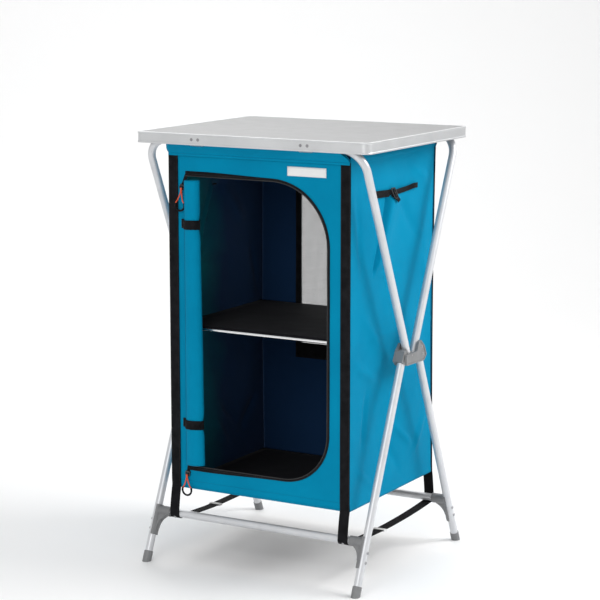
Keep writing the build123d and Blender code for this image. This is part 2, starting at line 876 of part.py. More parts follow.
with BuildPart() as tension_straps:
    for hand in (-1, 1):
        with BuildSketch(across(hand * wall_x, 0, tension_z)):
            with BuildLine():
                Polyline(
                    (tension_seam_gap - inner_y, tension_w / 2 + tension_rise),
                    (-lock_len, tension_w / 2),
                    (-lock_len, -tension_w / 2),
                    (tension_seam_gap - inner_y, -tension_w / 2 + tension_rise),
                    (tension_seam_gap - inner_y, tension_w / 2 + tension_rise),
                )
            make_face()
            with BuildLine():
                Polyline(
                    (0, tension_w / 2),
                    (tension_tail, tension_w / 4),
                    (tension_tail, -tension_w / 4),
                    (0, -tension_w / 2),
                    (0, tension_w / 2),
                )
            make_face()
        extrude(amount=hand * tension_t)
save(tension_straps, "tension_straps")

with BuildPart() as ladder_locks:
    for hand in (-1, 1):
        with BuildSketch(across(hand * wall_x, -lock_len / 2, tension_z)):
            RectangleRounded(lock_len, lock_h, 3)
            with Locations((-lock_len / 4, 0), (lock_len / 4, 0)):
                SlotOverall(tension_w, lock_slot, rotation=90, mode=Mode.SUBTRACT)
        extrude(amount=hand * lock_t)
save(ladder_locks, "ladder_locks")


# The rolled door: a spiral of cloth, drawn in where its two ties hold it
roll_left = door_left + fabric_gap


def roll_outline(scale, grow=0.0, step=roll_step):
    """The roll's outline, drawn in by scale, with the step where its outer turn ends."""
    half_w, half_d = roll_w / 2 * scale + grow, roll_d / 2 * scale + grow
    mid = roll_left + roll_w / 2 * scale
    with BuildSketch() as section:
        with BuildLine():
            ThreePointArc(
                (mid, roll_y - half_d),
                (mid + half_w * 0.72, roll_y - half_d * 0.7),
                (mid + half_w, roll_y),
            )
            ThreePointArc(
                (mid + half_w, roll_y),
                (mid + half_w * 0.7, roll_y + half_d * 0.72),
                (mid, roll_y + half_d),
            )
            ThreePointArc(
                (mid, roll_y + half_d),
                (mid - half_w * 0.7, roll_y + half_d * 0.72),
                (mid - half_w, roll_y),
            )
            ThreePointArc(
                (mid - half_w, roll_y),
                (mid - half_w * 0.7, roll_y - (half_d - step) * 0.72),
                (mid, roll_y - half_d + step),
            )
            if step:
                Line((mid, roll_y - half_d + step), (mid, roll_y - half_d))
        make_face()
    return section.sketch


roll_heights = (
    (roll_bottom, 0.96),
    ((roll_bottom + tie_z[1]) / 2, 1.0),
    (tie_z[1] - tie_h / 2, roll_waist),
    (tie_z[1] + tie_h / 2, roll_waist),
    (tie_z[1] + roll_swell, 1.0),
    ((tie_z[0] + tie_z[1]) / 2, 0.94),
    (tie_z[0] - roll_swell, 1.0),
    (tie_z[0] - tie_h / 2, roll_waist),
    (tie_z[0] + tie_h / 2, roll_waist),
    ((roll_top + tie_z[0]) / 2 + 5, 1.0),
    (roll_top, 0.95),
)
with BuildPart() as door_roll:
    for z, scale in roll_heights:
        with BuildSketch(Plane.XY.offset(z)):
            add(roll_outline(scale))
    loft(ruled=True)
save(door_roll, "door_roll")

with BuildPart() as door_ties:
    for z in tie_z:
        with BuildSketch(Plane.XY.offset(z - tie_h / 2)):
            add(roll_outline(roll_waist, fabric_gap + tie_t, 0))
            with Locations((door_left - tie_tab / 2 + 1, -wall_y - tie_t / 2)):
                Rectangle(tie_tab + 4, tie_t)
            add(roll_outline(roll_waist, fabric_gap, 0), mode=Mode.SUBTRACT)
        extrude(amount=tie_h)
save(door_ties, "door_ties")


# Zip tape round the doorway with a short tail at each left corner, where the sliders are parked
tape_face = -wall_y
top_tail = ((door_left + 2, door_top - 2), (door_left - 11.5, door_top - 34))
bottom_tail = ((door_left + 2, door_bottom + 2), (door_left - 2, door_bottom - 23))

with BuildPart() as zip_tape:
    with BuildSketch(wall_sketch(tape_face)):
        add(Plane.XZ.to_local_coords(doorway(zip_w)))
        add(Plane.XZ.to_local_coords(doorway(0)), mode=Mode.SUBTRACT)
        with Locations((door_left - zip_w, (door_top + door_bottom) / 2)):
            Rectangle(2 * zip_w, door_top - door_bottom + 4 * zip_w, mode=Mode.SUBTRACT)
        for start, end in (top_tail, bottom_tail):
            with BuildLine():
                Line(start, end)
            trace(line_width=zip_tail_w)
    extrude(amount=zip_t)
save(zip_tape, "zip_tape")


def zip_slider(tail):
    """A slider that straddles the tape's tail, with a cross pin for its pull."""
    (start_x, start_z), (end_x, end_z) = tail
    away = Vector(start_x - end_x, start_z - end_z).normalized()
    mid_x, mid_z = end_x + away.X * slider_len / 2, end_z + away.Y * slider_len / 2
    flat = Plane(origin=(mid_x, tape_face, mid_z), x_dir=(away.Y, 0, -away.X), z_dir=(0, -1, 0))
    width = zip_tail_w + 2 * (zip_gap + slider_cheek)
    with BuildPart() as slider:
        with BuildSketch(flat.offset(zip_t + zip_gap)):
            RectangleRounded(width, slider_len, 2.5)
        extrude(amount=slider_t)
        with BuildSketch(flat.offset(zip_gap)):
            with Locations((-(width - slider_cheek) / 2, 0), ((width - slider_cheek) / 2, 0)):
                Rectangle(slider_cheek, slider_len)
        extrude(amount=zip_t)
        bail_y = tape_face - zip_t - zip_gap - slider_t - bail_stand
        ear_x = eye_half_w + zip_gap + ear_t / 2
        for hand in (-1, 1):
            with BuildSketch(across(mid_x + hand * ear_x, bail_y, mid_z)):
                with BuildLine():
                    Polyline(
                        (bail_stand + ear_t / 2, ear_drop),
                        (-bail_r, bail_r),
                        (-bail_r, -bail_r),
                        (bail_stand + ear_t / 2, -ear_drop),
                        (bail_stand + ear_t / 2, ear_drop),
                    )
                make_face()
            extrude(amount=ear_t / 2, both=True)
        with BuildSketch(across(mid_x - ear_x, bail_y, mid_z)):
            Circle(bail_r)
        extrude(amount=2 * ear_x)
    return slider, mid_x, bail_y, mid_z


def zip_pull(x, y, z, ring_r):
    """A moulded tab that swings on the slider's cross pin and carries a cord ring."""
    with BuildPart() as pull:
        with BuildSketch(Plane(origin=(x, y - tab_t / 2, z), x_dir=(1, 0, 0), z_dir=(0, 1, 0))):
            with BuildLine():
                Polyline(
                    (-eye_half_w, 0),
                    (-eye_half_w, ear_drop + 1),
                    (-tab_w / 2, tab_len / 2),
                    (-tab_w / 2, tab_len),
                    (tab_w / 2, tab_len),
                    (tab_w / 2, tab_len / 2),
                    (eye_half_w, ear_drop + 1),
                    (eye_half_w, 0),
                    (-eye_half_w, 0),
                )
            make_face()
        extrude(amount=tab_t)
        with BuildSketch(across(x - eye_half_w, y, z)):
            Circle(bail_eye_r)
        extrude(amount=2 * eye_half_w)
        with BuildSketch(across(x - eye_half_w, y, z)):
            Circle(bail_r + bail_gap)
        extrude(amount=2 * eye_half_w, mode=Mode.SUBTRACT)
        ring_z = z - tab_len - ring_r + loop_sink
        with BuildSketch(Plane(origin=(x, y, ring_z), x_dir=(1, 0, 0), z_dir=(0, 0, 1))):
            with Locations((ring_r, 0)):
                RegularPolygon(loop_wire_r, 8)
        revolve(axis=Axis((x, y, ring_z), (0, 1, 0)))
    return pull


for tail, name, ring_r in ((top_tail, "top", top_loop_r), (bottom_tail, "bottom", bottom_loop_r)):
    slider, pull_x, pull_y, pull_z = zip_slider(tail)
    save(slider, f"zip_slider_{name}")
    save(zip_pull(pull_x, pull_y, pull_z, ring_r), f"zip_pull_{name}")
    print(f"{name} pull pivot {pull_x:.3f} {pull_y:.3f} {pull_z:.3f}")

print(f"upper bar z {upper_bar_z:.2f}, upper lean {degrees(upper_lean):.2f} degrees")
print(f"lower bar y {lower_bar_y:.2f}, lower lean {degrees(lower_lean):.2f} degrees")
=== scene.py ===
import json
from math import cos, exp, pi, radians, sin, sqrt

import bmesh
import bpy
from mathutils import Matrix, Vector, noise


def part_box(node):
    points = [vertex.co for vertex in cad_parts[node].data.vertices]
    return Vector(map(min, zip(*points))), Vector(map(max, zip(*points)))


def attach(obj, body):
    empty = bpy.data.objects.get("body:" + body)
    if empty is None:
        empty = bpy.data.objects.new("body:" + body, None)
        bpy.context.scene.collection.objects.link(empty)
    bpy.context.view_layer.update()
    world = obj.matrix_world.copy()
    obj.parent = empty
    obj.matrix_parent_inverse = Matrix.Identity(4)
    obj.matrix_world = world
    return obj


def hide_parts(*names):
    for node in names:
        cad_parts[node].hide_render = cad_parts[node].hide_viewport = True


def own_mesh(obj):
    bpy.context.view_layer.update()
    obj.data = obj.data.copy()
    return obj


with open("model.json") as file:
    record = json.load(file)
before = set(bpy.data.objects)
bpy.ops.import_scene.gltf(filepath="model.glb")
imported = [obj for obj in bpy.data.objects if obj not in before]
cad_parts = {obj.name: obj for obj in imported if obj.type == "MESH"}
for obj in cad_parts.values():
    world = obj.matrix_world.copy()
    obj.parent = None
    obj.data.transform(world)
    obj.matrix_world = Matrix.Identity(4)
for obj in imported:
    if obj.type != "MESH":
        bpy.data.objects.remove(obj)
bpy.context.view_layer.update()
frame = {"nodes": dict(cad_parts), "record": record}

MM = 0.001


def smooth_step(low, high, value):
    """0 below low, 1 above high and a smooth ramp between."""
    t = min(max((value - low) / (high - low), 0.0), 1.0)
    return t * t * (3 - 2 * t)


def bump(value, centre, width):
    """A smooth hill of height 1 round centre."""
    return exp(-(((value - centre) / width) ** 2))


def mix(a, b, t):
    return a + (b - a) * t


# Places read from the frame, in metres
front_low, front_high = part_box("front_panel")
side_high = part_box("side_panel_right")[1]
roll_low, roll_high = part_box("door_roll")
deck_low, deck_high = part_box("shelf_deck")
base_low, base_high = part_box("base_panel")
strap_low, strap_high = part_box("front_strap_right")
sleeve_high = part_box("front_sleeve")[1]
bar_low, bar_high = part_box("front_crossbar")
tension_low, tension_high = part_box("tension_straps")
slides_low, slides_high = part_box("strap_slides")
edge_low, edge_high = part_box("tabletop_edge")

HALF_X = front_high.x
WALL_Y = -front_low.y
BOTTOM = front_low.z
SEAM_Z = front_high.z
SIDE_TOP = side_high.z
CLOTH = 1.6 * MM
DOOR_LEFT = -HALF_X + 43 * MM
DOOR_RIGHT = HALF_X - 53 * MM
DOOR_BOTTOM = BOTTOM + 53 * MM
DOOR_TOP = SEAM_Z - 52 * MM
DOOR_TOP_R = 145 * MM
DOOR_BOTTOM_R = 115 * MM


# Materials. Each is built from nodes, in metres of object space.
class Nodes:
    """A short way to write a material's node tree."""

    def __init__(self, name):
        self.material = bpy.data.materials.new(name)
        self.material.use_nodes = True
        self.tree = self.material.node_tree
        self.shader = self.tree.nodes["Principled BSDF"]
        self.coords = self.tree.nodes.new("ShaderNodeTexCoord").outputs["Object"]

    def set(self, **values):
        for key, value in values.items():
            self.shader.inputs[key.replace("_", " ")].default_value = value

    def link(self, source, target):
        self.tree.links.new(source, target)

    def math(self, operation, a, b=0.0):
        node = self.tree.nodes.new("ShaderNodeMath")
        node.operation = operation
        for socket, value in zip(node.inputs, (a, b)):
            if isinstance(value, (int, float)):
                socket.default_value = value
            else:
                self.link(value, socket)
        return node.outputs[0]

    def axes(self):
        node = self.tree.nodes.new("ShaderNodeSeparateXYZ")
        self.link(self.coords, node.inputs[0])
        return node.outputs

    def stretched(self, scale, coords=None):
        node = self.tree.nodes.new("ShaderNodeMapping")
        node.inputs["Scale"].default_value = scale
        self.link(coords or self.coords, node.inputs["Vector"])
        return node.outputs[0]

    def noise(self, scale, detail=3.0, roughness=0.5, coords=None):
        node = self.tree.nodes.new("ShaderNodeTexNoise")
        node.inputs["Scale"].default_value = scale
        node.inputs["Detail"].default_value = detail
        node.inputs["Roughness"].default_value = roughness
        self.link(coords or self.coords, node.inputs["Vector"])
        return node.outputs["Fac"]

    def ramp(self, factor, stops):
        node = self.tree.nodes.new("ShaderNodeValToRGB")
        ramp = node.color_ramp
        while len(ramp.elements) < len(stops):
            ramp.elements.new(0.5)
        for element, (place, colour) in zip(ramp.elements, stops):
            element.position = place
            element.color = (*colour, 1.0)
        self.link(factor, node.inputs[0])
        return node.outputs[0]

    def range(self, factor, low, high):
        node = self.tree.nodes.new("ShaderNodeMapRange")
        node.inputs["To Min"].default_value = low
        node.inputs["To Max"].default_value = high
        self.link(factor, node.inputs["Value"])
        return node.outputs[0]

    def colour(self, source):
        self.link(source, self.shader.inputs["Base Color"])

    def rough(self, source):
        self.link(source, self.shader.inputs["Roughness"])

    def relief(self, height, distance, strength=1.0, under=None):
        node = self.tree.nodes.new("ShaderNodeBump")
        node.inputs["Distance"].default_value = distance
        node.inputs["Strength"].default_value = strength
        self.link(height, node.inputs["Height"])
        if under is not None:
            self.link(under, node.inputs["Normal"])
        return node.outputs[0]

    def normal(self, source):
        self.link(source, self.shader.inputs["Normal"])

    def weave(self, pitch):
        """Plain weave: threads along the surface's own height and its two level directions."""
        x, y, z = self.axes()
        turn = 2 * pi / pitch
        level = self.math("ADD", x, y)
        warp = self.math("SINE", self.math("MULTIPLY", level, turn))
        weft = self.math("SINE", self.math("MULTIPLY", z, turn))
        return self.math("MULTIPLY", warp, weft)


CLOTH_ROUGHNESS = (0.62, 0.78)
WEAVE_PITCH = 1.3 * MM
WEAVE_RELIEF = 0.05 * MM


def cloth_material(name, dark, light, sheen, pitch=WEAVE_PITCH):
    """Coated polyester: a fine weave, faint cloudiness and soft small wrinkles."""
    n = Nodes(name)
    n.set(Sheen_Weight=sheen, Sheen_Roughness=0.45, Specular_IOR_Level=0.035)
    n.colour(n.ramp(n.noise(5.5, 4.0, 0.6), ((0.3, dark), (0.75, light))))
    n.rough(n.range(n.noise(30.0, 3.0), *CLOTH_ROUGHNESS))
    wrinkles = n.relief(n.noise(26.0, 4.0, 0.55, n.stretched((1.0, 1.0, 0.55))), 1.1 * MM, 0.55)
    n.normal(n.relief(n.weave(pitch), WEAVE_RELIEF, 0.6, wrinkles))
    return n.material


def lining_material(name):
    """The inside of the walls: navy, with painted light towards the front, a teal glow standing in for light
    shining through the cloth.
    """
    n = Nodes(name)
    n.set(Sheen_Weight=0.05, Specular_IOR_Level=0.04)
    # painted light: the colour turns teal towards the front, for light shining through the cloth
    depth = n.math("MULTIPLY", n.math("ADD", n.axes()[1], 0.10), 3.4)
    cloud = n.math("MULTIPLY", n.noise(7.0, 3.0, 0.5), 0.5)
    stops = (0.26, (0.0, 0.13, 0.155)), (0.66, (0.009, 0.034, 0.095))
    n.colour(n.ramp(n.math("ADD", depth, cloud), stops))
    n.rough(n.range(n.noise(30.0, 3.0), *CLOTH_ROUGHNESS))
    n.normal(n.relief(n.weave(WEAVE_PITCH), WEAVE_RELIEF, 0.6))
    return n.material


def webbing_material(name, dark, light, pitch=1.6 * MM):
    """Woven webbing: close ribs across the width and a brighter edge to each thread."""
    n = Nodes(name)
    n.set(Sheen_Weight=0.02, Sheen_Roughness=0.5, Specular_IOR_Level=0.08)
    x, y, z = n.axes()
    turn = 2 * pi / pitch
    ribs = n.math("SINE", n.math("MULTIPLY", n.math("ADD", z, y), turn))
    threads = n.math("SINE", n.math("MULTIPLY", n.math("ADD", x, y), turn * 0.8))
    weave = n.math("ADD", ribs, n.math("MULTIPLY", threads, 0.5))
    n.colour(n.ramp(n.noise(60.0, 3.0), ((0.3, dark), (0.75, light))))
    n.rough(n.range(n.noise(90.0), 0.68, 0.86))
    n.normal(n.relief(weave, 0.16 * MM, 0.7))
    return n.material


def plastic_material(name, dark, light, roughness=(0.42, 0.55), light_from=0.8):
    """Moulded plastic: an even colour with a fine spark-eroded grain and soft flow marks."""
    n = Nodes(name)
    n.set(Specular_IOR_Level=0.45)
    n.colour(n.ramp(n.noise(35.0, 3.0, 0.6), ((0.3, dark), (light_from, light))))
    n.rough(n.range(n.noise(120.0, 2.0), *roughness))
    n.normal(n.relief(n.noise(2200.0, 2.0), 0.05 * MM, 0.5))
    return n.material


def tube_material(name):
    """Powder-coated tube: pale satin grey with a faint orange peel and a few dull marks."""
    n = Nodes(name)
    n.set(Metallic=0.35, Specular_IOR_Level=0.5, Coat_Weight=0.35, Coat_Roughness=0.28)
    n.colour(n.ramp(n.noise(18.0, 4.0, 0.65), ((0.25, (0.56, 0.57, 0.59)), (0.8, (0.66, 0.67, 0.69)))))
    n.rough(n.range(n.noise(45.0, 4.0), 0.3, 0.44))
    n.normal(n.relief(n.noise(700.0, 2.0), 0.05 * MM, 0.35))
    return n.material


def metal_material(name, dark, light, along=(1.0, 1.0, 1.0), roughness=(0.28, 0.42), beads=None):
    """Drawn or rolled metal with fine lines along it, and with beads, one along its top and bottom edge."""
    n = Nodes(name)
    n.set(Metallic=1.0, Specular_IOR_Level=0.5)
    lines = n.noise(900.0, 3.0, 0.6, n.stretched(along))
    n.colour(n.ramp(n.noise(14.0, 3.0), ((0.3, dark), (0.8, light))))
    n.rough(n.range(lines, *roughness))
    under = None
    if beads:
        low, high = beads
        up = n.math("DIVIDE", n.math("SUBTRACT", n.axes()[2], low), high - low)
        ridge = n.ramp(up, ((0.1, (1, 1, 1)), (0.15, (0, 0, 0)), (0.85, (0, 0, 0)), (0.9, (1, 1, 1))))
        under = n.relief(ridge, 1.2 * MM, 0.8)
    n.normal(n.relief(lines, 0.02 * MM, 0.4, under))
    return n.material


def board_material(name):
    """Light grey laminate with a very fine speckle and faint scuffs."""
    n = Nodes(name)
    n.set(Specular_IOR_Level=0.35, Coat_Weight=0.12, Coat_Roughness=0.35)
    speckle = n.noise(1400.0, 2.0, 0.6)
    cloud = n.noise(6.0, 3.0, 0.5)
    tone = n.math("ADD", n.math("MULTIPLY", speckle, 0.5), n.math("MULTIPLY", cloud, 0.5))
    n.colour(n.ramp(tone, ((0.3, (0.215, 0.217, 0.221)), (0.7, (0.248, 0.250, 0.254)))))
    n.rough(n.range(n.noise(22.0, 5.0, 0.7), 0.34, 0.5))
    n.normal(n.relief(speckle, 0.02 * MM, 0.3))
    return n.material


TEAL_DEEP = (0.0, 0.196, 0.352)
TEAL = (0.0, 0.238, 0.412)
cloth_teal = cloth_material("teal polyester", TEAL_DEEP, TEAL, 0.01)
cloth_dark_teal = cloth_material("teal thread", (0.0, 0.12, 0.22), (0.0, 0.15, 0.26), 0.08)
cloth_inner = lining_material("navy lining with painted light")
cloth_black = cloth_material("black lining", (0.006, 0.006, 0.008), (0.012, 0.012, 0.015), 0.03)
label_white = cloth_material("white patch", (0.74, 0.74, 0.73), (0.82, 0.82, 0.81), 0.05, 0.6 * MM)
thread_black = plastic_material("black thread", (0.014, 0.014, 0.016), (0.024, 0.024, 0.027))
webbing_black = webbing_material("black webbing", (0.004, 0.004, 0.005), (0.011, 0.011, 0.013))
tape_black = webbing_material("zip tape", (0.005, 0.005, 0.006), (0.012, 0.012, 0.014), 0.9 * MM)
net_grey = webbing_material("net cord", (0.11, 0.115, 0.125), (0.16, 0.165, 0.175), 1.2 * MM)
hub_grey = plastic_material("grey nylon", (0.165, 0.168, 0.172), (0.205, 0.208, 0.212), light_from=0.75)
black_plastic = plastic_material("black acetal", (0.008, 0.008, 0.009), (0.015, 0.015, 0.016))
white_plastic = plastic_material("white nylon", (0.72, 0.72, 0.71), (0.80, 0.80, 0.79))
orange_plastic = plastic_material("orange tab", (0.62, 0.065, 0.012), (0.74, 0.09, 0.02), (0.38, 0.5))
black_cord = webbing_material("black cord", (0.006, 0.006, 0.007), (0.015, 0.015, 0.017), 0.7 * MM)
tube_grey = tube_material("powder-coated tube")
edge_aluminium = metal_material(
    "anodised edge", (0.66, 0.67, 0.68), (0.74, 0.75, 0.76), (0.02, 0.02, 1.0),
    beads=(edge_low.z, edge_high.z),
)
clip_aluminium = metal_material("bare strip", (0.6, 0.6, 0.61), (0.7, 0.7, 0.71))
rod_aluminium = metal_material(
    "bright rod", (0.82, 0.83, 0.84), (0.9, 0.9, 0.91), (0.02, 1.0, 1.0), (0.16, 0.28)
)
steel = metal_material("rivet steel", (0.30, 0.30, 0.31), (0.42, 0.42, 0.43))
dark_zinc = metal_material("dark zinc", (0.05, 0.05, 0.055), (0.11, 0.11, 0.115))
board_grey = board_material("laminate")

slot_material = {
    "profile": edge_aluminium,
    "top": board_grey,
    "tube": tube_grey,
    "moulding": hub_grey,
    "rivet": steel,
    "clip": clip_aluminium,
    "cloth": cloth_teal,
    "lining": cloth_black,
    "webbing": webbing_black,
    "net": net_grey,
    "zip": tape_black,
    "rod": rod_aluminium,
    "buckle": black_plastic,
    "slide": white_plastic,
    "pull": orange_plastic,
    "slider": dark_zinc,
}
node_slot = {part["node"]: part["material_slot"] for part in frame["record"]["subparts"]}
for node, obj in frame["nodes"].items():
    wanted = slot_material[node_slot[node]]
    if obj.data.materials:
        for index in range(len(obj.data.materials)):
            obj.data.materials[index] = wanted
    else:
        obj.data.materials.append(wanted)


# Meshes
def face_outward(data):
    """Points every face of a mesh outward."""
    mesh = bmesh.new()
    mesh.from_mesh(data)
    bmesh.ops.recalc_face_normals(mesh, faces=mesh.faces)
    mesh.to_mesh(data)
    mesh.free()


def make(name, verts, faces, materials, body, smooth=True, kinds=None, outward=True):
    """A mesh object that rides on a body and takes its finish from a slot.

    kinds gives each face's material by its place in materials.
    """
    name = name.replace(" ", "_")
    mesh = bpy.data.meshes.new(name)
    mesh.from_pydata([tuple(v) for v in verts], [], faces)
    for material in materials:
        mesh.materials.append(material)
    mesh.update()
    for polygon in mesh.polygons:
        polygon.use_smooth = smooth
    if kinds:
        for polygon, kind in zip(mesh.polygons, kinds):
            polygon.material_index = kind
    obj = bpy.data.objects.new(name, mesh)
    bpy.context.scene.collection.objects.link(obj)
    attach(obj, body)
    if outward:
        face_outward(mesh)
    return obj


def ring_faces(count, sides, closed=False, start=0):
    """Faces between rings of points in a row, capped at both ends unless the last ring joins the first."""
    faces = []
    for k in range(count if closed else count - 1):
        near, far = k * sides, (k + 1) % count * sides
        for j in range(sides):
            beside = (j + 1) % sides
            faces.append([near + j, near + beside, far + beside, far + j])
    if not closed:
        faces.append(list(range(sides))[::-1])
        faces.append([(count - 1) * sides + j for j in range(sides)])
    return [[start + index for index in face] for face in faces]


def shell(name, rows, cols, place, normal, thickness, materials, body, keep=None):
    """A closed sheet: a grid of points on a face, its back a thickness behind, and walls along its edges.

    place(i, j) gives the front point and normal(i, j) the way that the front faces. keep(i, j) says which
    cells are there. The back takes the second material, if there is one, and the walls take the first.
    """
    front = [[Vector(place(i, j)) for j in range(cols)] for i in range(rows)]
    back = [[front[i][j] - Vector(normal(i, j)) * thickness for j in range(cols)] for i in range(rows)]
    verts, index = [], {}

    def vert(side, i, j):
        key = (side, i, j)
        if key not in index:
            index[key] = len(verts)
            verts.append((front if side == 0 else back)[i][j])
        return index[key]

    cells = {
        (i, j) for i in range(rows - 1) for j in range(cols - 1) if keep is None or keep(i, j)
    }
    faces, kinds = [], []
    for i, j in sorted(cells):
        faces.append([vert(0, i, j), vert(0, i, j + 1), vert(0, i + 1, j + 1), vert(0, i + 1, j)])
        kinds.append(0)
        faces.append([vert(1, i, j), vert(1, i + 1, j), vert(1, i + 1, j + 1), vert(1, i, j + 1)])
        kinds.append(1)
        walls = (
            ((i, j - 1), (i + 1, j), (i, j)),
            ((i, j + 1), (i, j + 1), (i + 1, j + 1)),
            ((i - 1, j), (i, j), (i, j + 1)),
            ((i + 1, j), (i + 1, j + 1), (i + 1, j)),
        )
        for beside, start, end in walls:
            if beside not in cells:
                faces.append([vert(0, *start), vert(0, *end), vert(1, *end), vert(1, *start)])
                kinds.append(0)
    if len(materials) == 1:
        kinds = None
    return make(name, verts, faces, materials, body, kinds=kinds)


def ribbon(name, path, width, thickness, across, materials, body):
    """A flat strap along a path of points, with its width along the vector across."""
    across = Vector(across).normalized()
    points = [Vector(p) for p in path]
    verts = []
    profile = ((-0.5, 0.18), (-0.47, 0.5), (0.47, 0.5), (0.5, 0.18))
    for k, point in enumerate(points):
        ahead = points[min(k + 1, len(points) - 1)] - points[max(k - 1, 0)]
        up = ahead.cross(across).normalized()
        verts += [point + across * width * e + up * thickness * h for e, h in profile]
        verts += [point + across * width * e - up * thickness * h for e, h in reversed(profile)]
    faces = ring_faces(len(points), 2 * len(profile))
    return make(name, verts, faces, materials, body, smooth=False)


def tube(name, path, radius, sides, materials, body, closed=False):
    """A round cord along a path of points."""
    points = [Vector(p) for p in path]
    verts = []
    side = None
    count = len(points)
    for k, point in enumerate(points):
        if closed:
            ahead = (points[(k + 1) % count] - points[k - 1]).normalized()
        else:
            ahead = (points[min(k + 1, count - 1)] - points[max(k - 1, 0)]).normalized()
        if side is None:
            side = ahead.orthogonal().normalized()
        side = (side - ahead * side.dot(ahead)).normalized()
        up = ahead.cross(side)
        for j in range(sides):
            turn = 2 * pi * j / sides
            verts.append(point + (side * cos(turn) + up * sin(turn)) * radius)
    return make(name, verts, ring_faces(count, sides, closed), materials, body)


# Camera: the photograph's viewpoint, from a fit to the tabletop's corners, the feet and the hub
AZIMUTH = 29.64
ELEVATION = 9.78
DISTANCE = 4.75989
FOCAL_PX = 2039.06
IMAGE_PX = 600
SENSOR_MM = 36.0
TARGET = Vector((-0.00806, -0.00458, 0.60455))


def floor():
    """A pale floor that curves up behind the object, square to the camera."""
    sweep_r = 1.6
    sweep = [radians(a) for a in range(0, 91, 10)]
    depth = [-6.0, -2.0, 2.0] + [3.0 + sweep_r * sin(a) for a in sweep] + [4.6]
    height = [0.0, 0.0, 0.0] + [sweep_r * (1 - cos(a)) for a in sweep] + [6.0]
    verts = [(x, y, z) for y, z in zip(depth, height) for x in (-9.0, 9.0)]
    faces = [[2 * k, 2 * k + 1, 2 * k + 3, 2 * k + 2] for k in range(len(depth) - 1)]
    mesh = bpy.data.meshes.new("floor")
    mesh.from_pydata(verts, [], faces)
    n = Nodes("pale floor")
    n.set(Base_Color=(0.93, 0.93, 0.93, 1.0), Specular_IOR_Level=0.2, Roughness=0.75)
    mesh.materials.append(n.material)
    for polygon in mesh.polygons:
        polygon.use_smooth = True
    obj = bpy.data.objects.new("floor", mesh)
    bpy.context.scene.collection.objects.link(obj)
    obj.rotation_euler = (0, 0, radians(AZIMUTH))


def camera():
    data = bpy.data.cameras.new("camera")
    data.sensor_width = SENSOR_MM
    data.sensor_fit = "HORIZONTAL"
    data.lens = FOCAL_PX / IMAGE_PX * SENSOR_MM
    obj = bpy.data.objects.new("camera", data)
    bpy.context.scene.collection.objects.link(obj)
    azimuth, elevation = radians(AZIMUTH), radians(ELEVATION)
    back = Vector((sin(azimuth) * cos(elevation), -cos(azimuth) * cos(elevation), sin(elevation)))
    obj.location = TARGET + back * DISTANCE
    obj.rotation_euler = (-back).to_track_quat("-Z", "Y").to_euler()
    bpy.context.scene.camera = obj


def area_light(name, place, target, size, power):
    data = bpy.data.lights.new(name, "AREA")
    data.shape = "RECTANGLE"
    data.size, data.size_y = size
    data.energy = power
    obj = bpy.data.objects.new(name, data)
    bpy.context.scene.collection.objects.link(obj)
    obj.location = place
    obj.rotation_euler = (Vector(target) - Vector(place)).to_track_quat("-Z", "Y").to_euler()


def lights():
    world = bpy.data.worlds.new("studio")
    bpy.context.scene.world = world
    world.use_nodes = True
    world.node_tree.nodes["Background"].inputs["Color"].default_value = (1.0, 1.0, 1.0, 1.0)
    world.node_tree.nodes["Background"].inputs["Strength"].default_value = 0.72
    area_light("key", (2.1, 0.9, 2.1), (0, 0, 0.85), (1.5, 1.3), 52)
    area_light("front", (0.4, -4.2, 2.4), (0, 0, 0.5), (2.2, 1.8), 48)
    area_light("back", (-2.6, 3.4, 3.2), (0, 0, 0.4), (2.4, 2.4), 60)
    bpy.context.scene.view_settings.view_transform = "Standard"
    bpy.context.scene.view_settings.look = "None"


# Front and rear walls
def doorway_gap(x, z):
    """The signed distance from a point on the front to the doorway's edge, positive on the cloth."""
    middle_x, middle_z = (DOOR_LEFT + DOOR_RIGHT) / 2, (DOOR_TOP + DOOR_BOTTOM) / 2
    if x < middle_x:
        radius = 0.0
    else:
        radius = DOOR_TOP_R if z > middle_z else DOOR_BOTTOM_R
    across = abs(x - middle_x) - ((DOOR_RIGHT - DOOR_LEFT) / 2 - radius)
    up = abs(z - middle_z) - ((DOOR_TOP - DOOR_BOTTOM) / 2 - radius)
    outside = sqrt(max(across, 0.0) ** 2 + max(up, 0.0) ** 2)
    return outside + min(max(across, up), 0.0) - radius


SIDES = ((1, "right"), (-1, "left"))
ENDS = ((-1, "front"), (1, "rear"))
WAIST = 7 * MM


def waist(z):
    """How far a rear corner is drawn in towards the middle: most at half height."""
    u = (z - BOTTOM) / (SEAM_Z - BOTTOM)
    return WAIST * sin(pi * min(max(u, 0.0), 1.0)) ** 0.8


def front_y(x, z):
    """The front wall's face. It is tight at its seams and bellies a little between them."""
    u = (x + HALF_X) / (2 * HALF_X)
    v = (z - BOTTOM) / (SEAM_Z - BOTTOM)
    calm = smooth_step(0.0, 0.1, u) * smooth_step(0.0, 0.1, 1 - u) * smooth_step(0.0, 0.06, v)
    calm *= smooth_step(0.0, 0.05, 1 - v)
    slow = noise.noise(Vector((x * 9, z * 6, 2.1)))
    fine = noise.noise(Vector((x * 24, z * 17, 8.4)))
    hem = 1.4 * MM * bump(v, 0.0, 0.012)
    return -WALL_Y - calm * (0.9 * slow + 0.35 * fine) * 1.5 * MM + hem


def grid_lines(low, high, step, extra=()):
    """Evenly spaced lines from low to high with further ones at the given places."""
    count = max(2, round((high - low) / step))
    lines = {round(low + (high - low) * k / count, 7) for k in range(count + 1)}
    lines |= {round(value, 7) for value in extra}
    return sorted(lines)


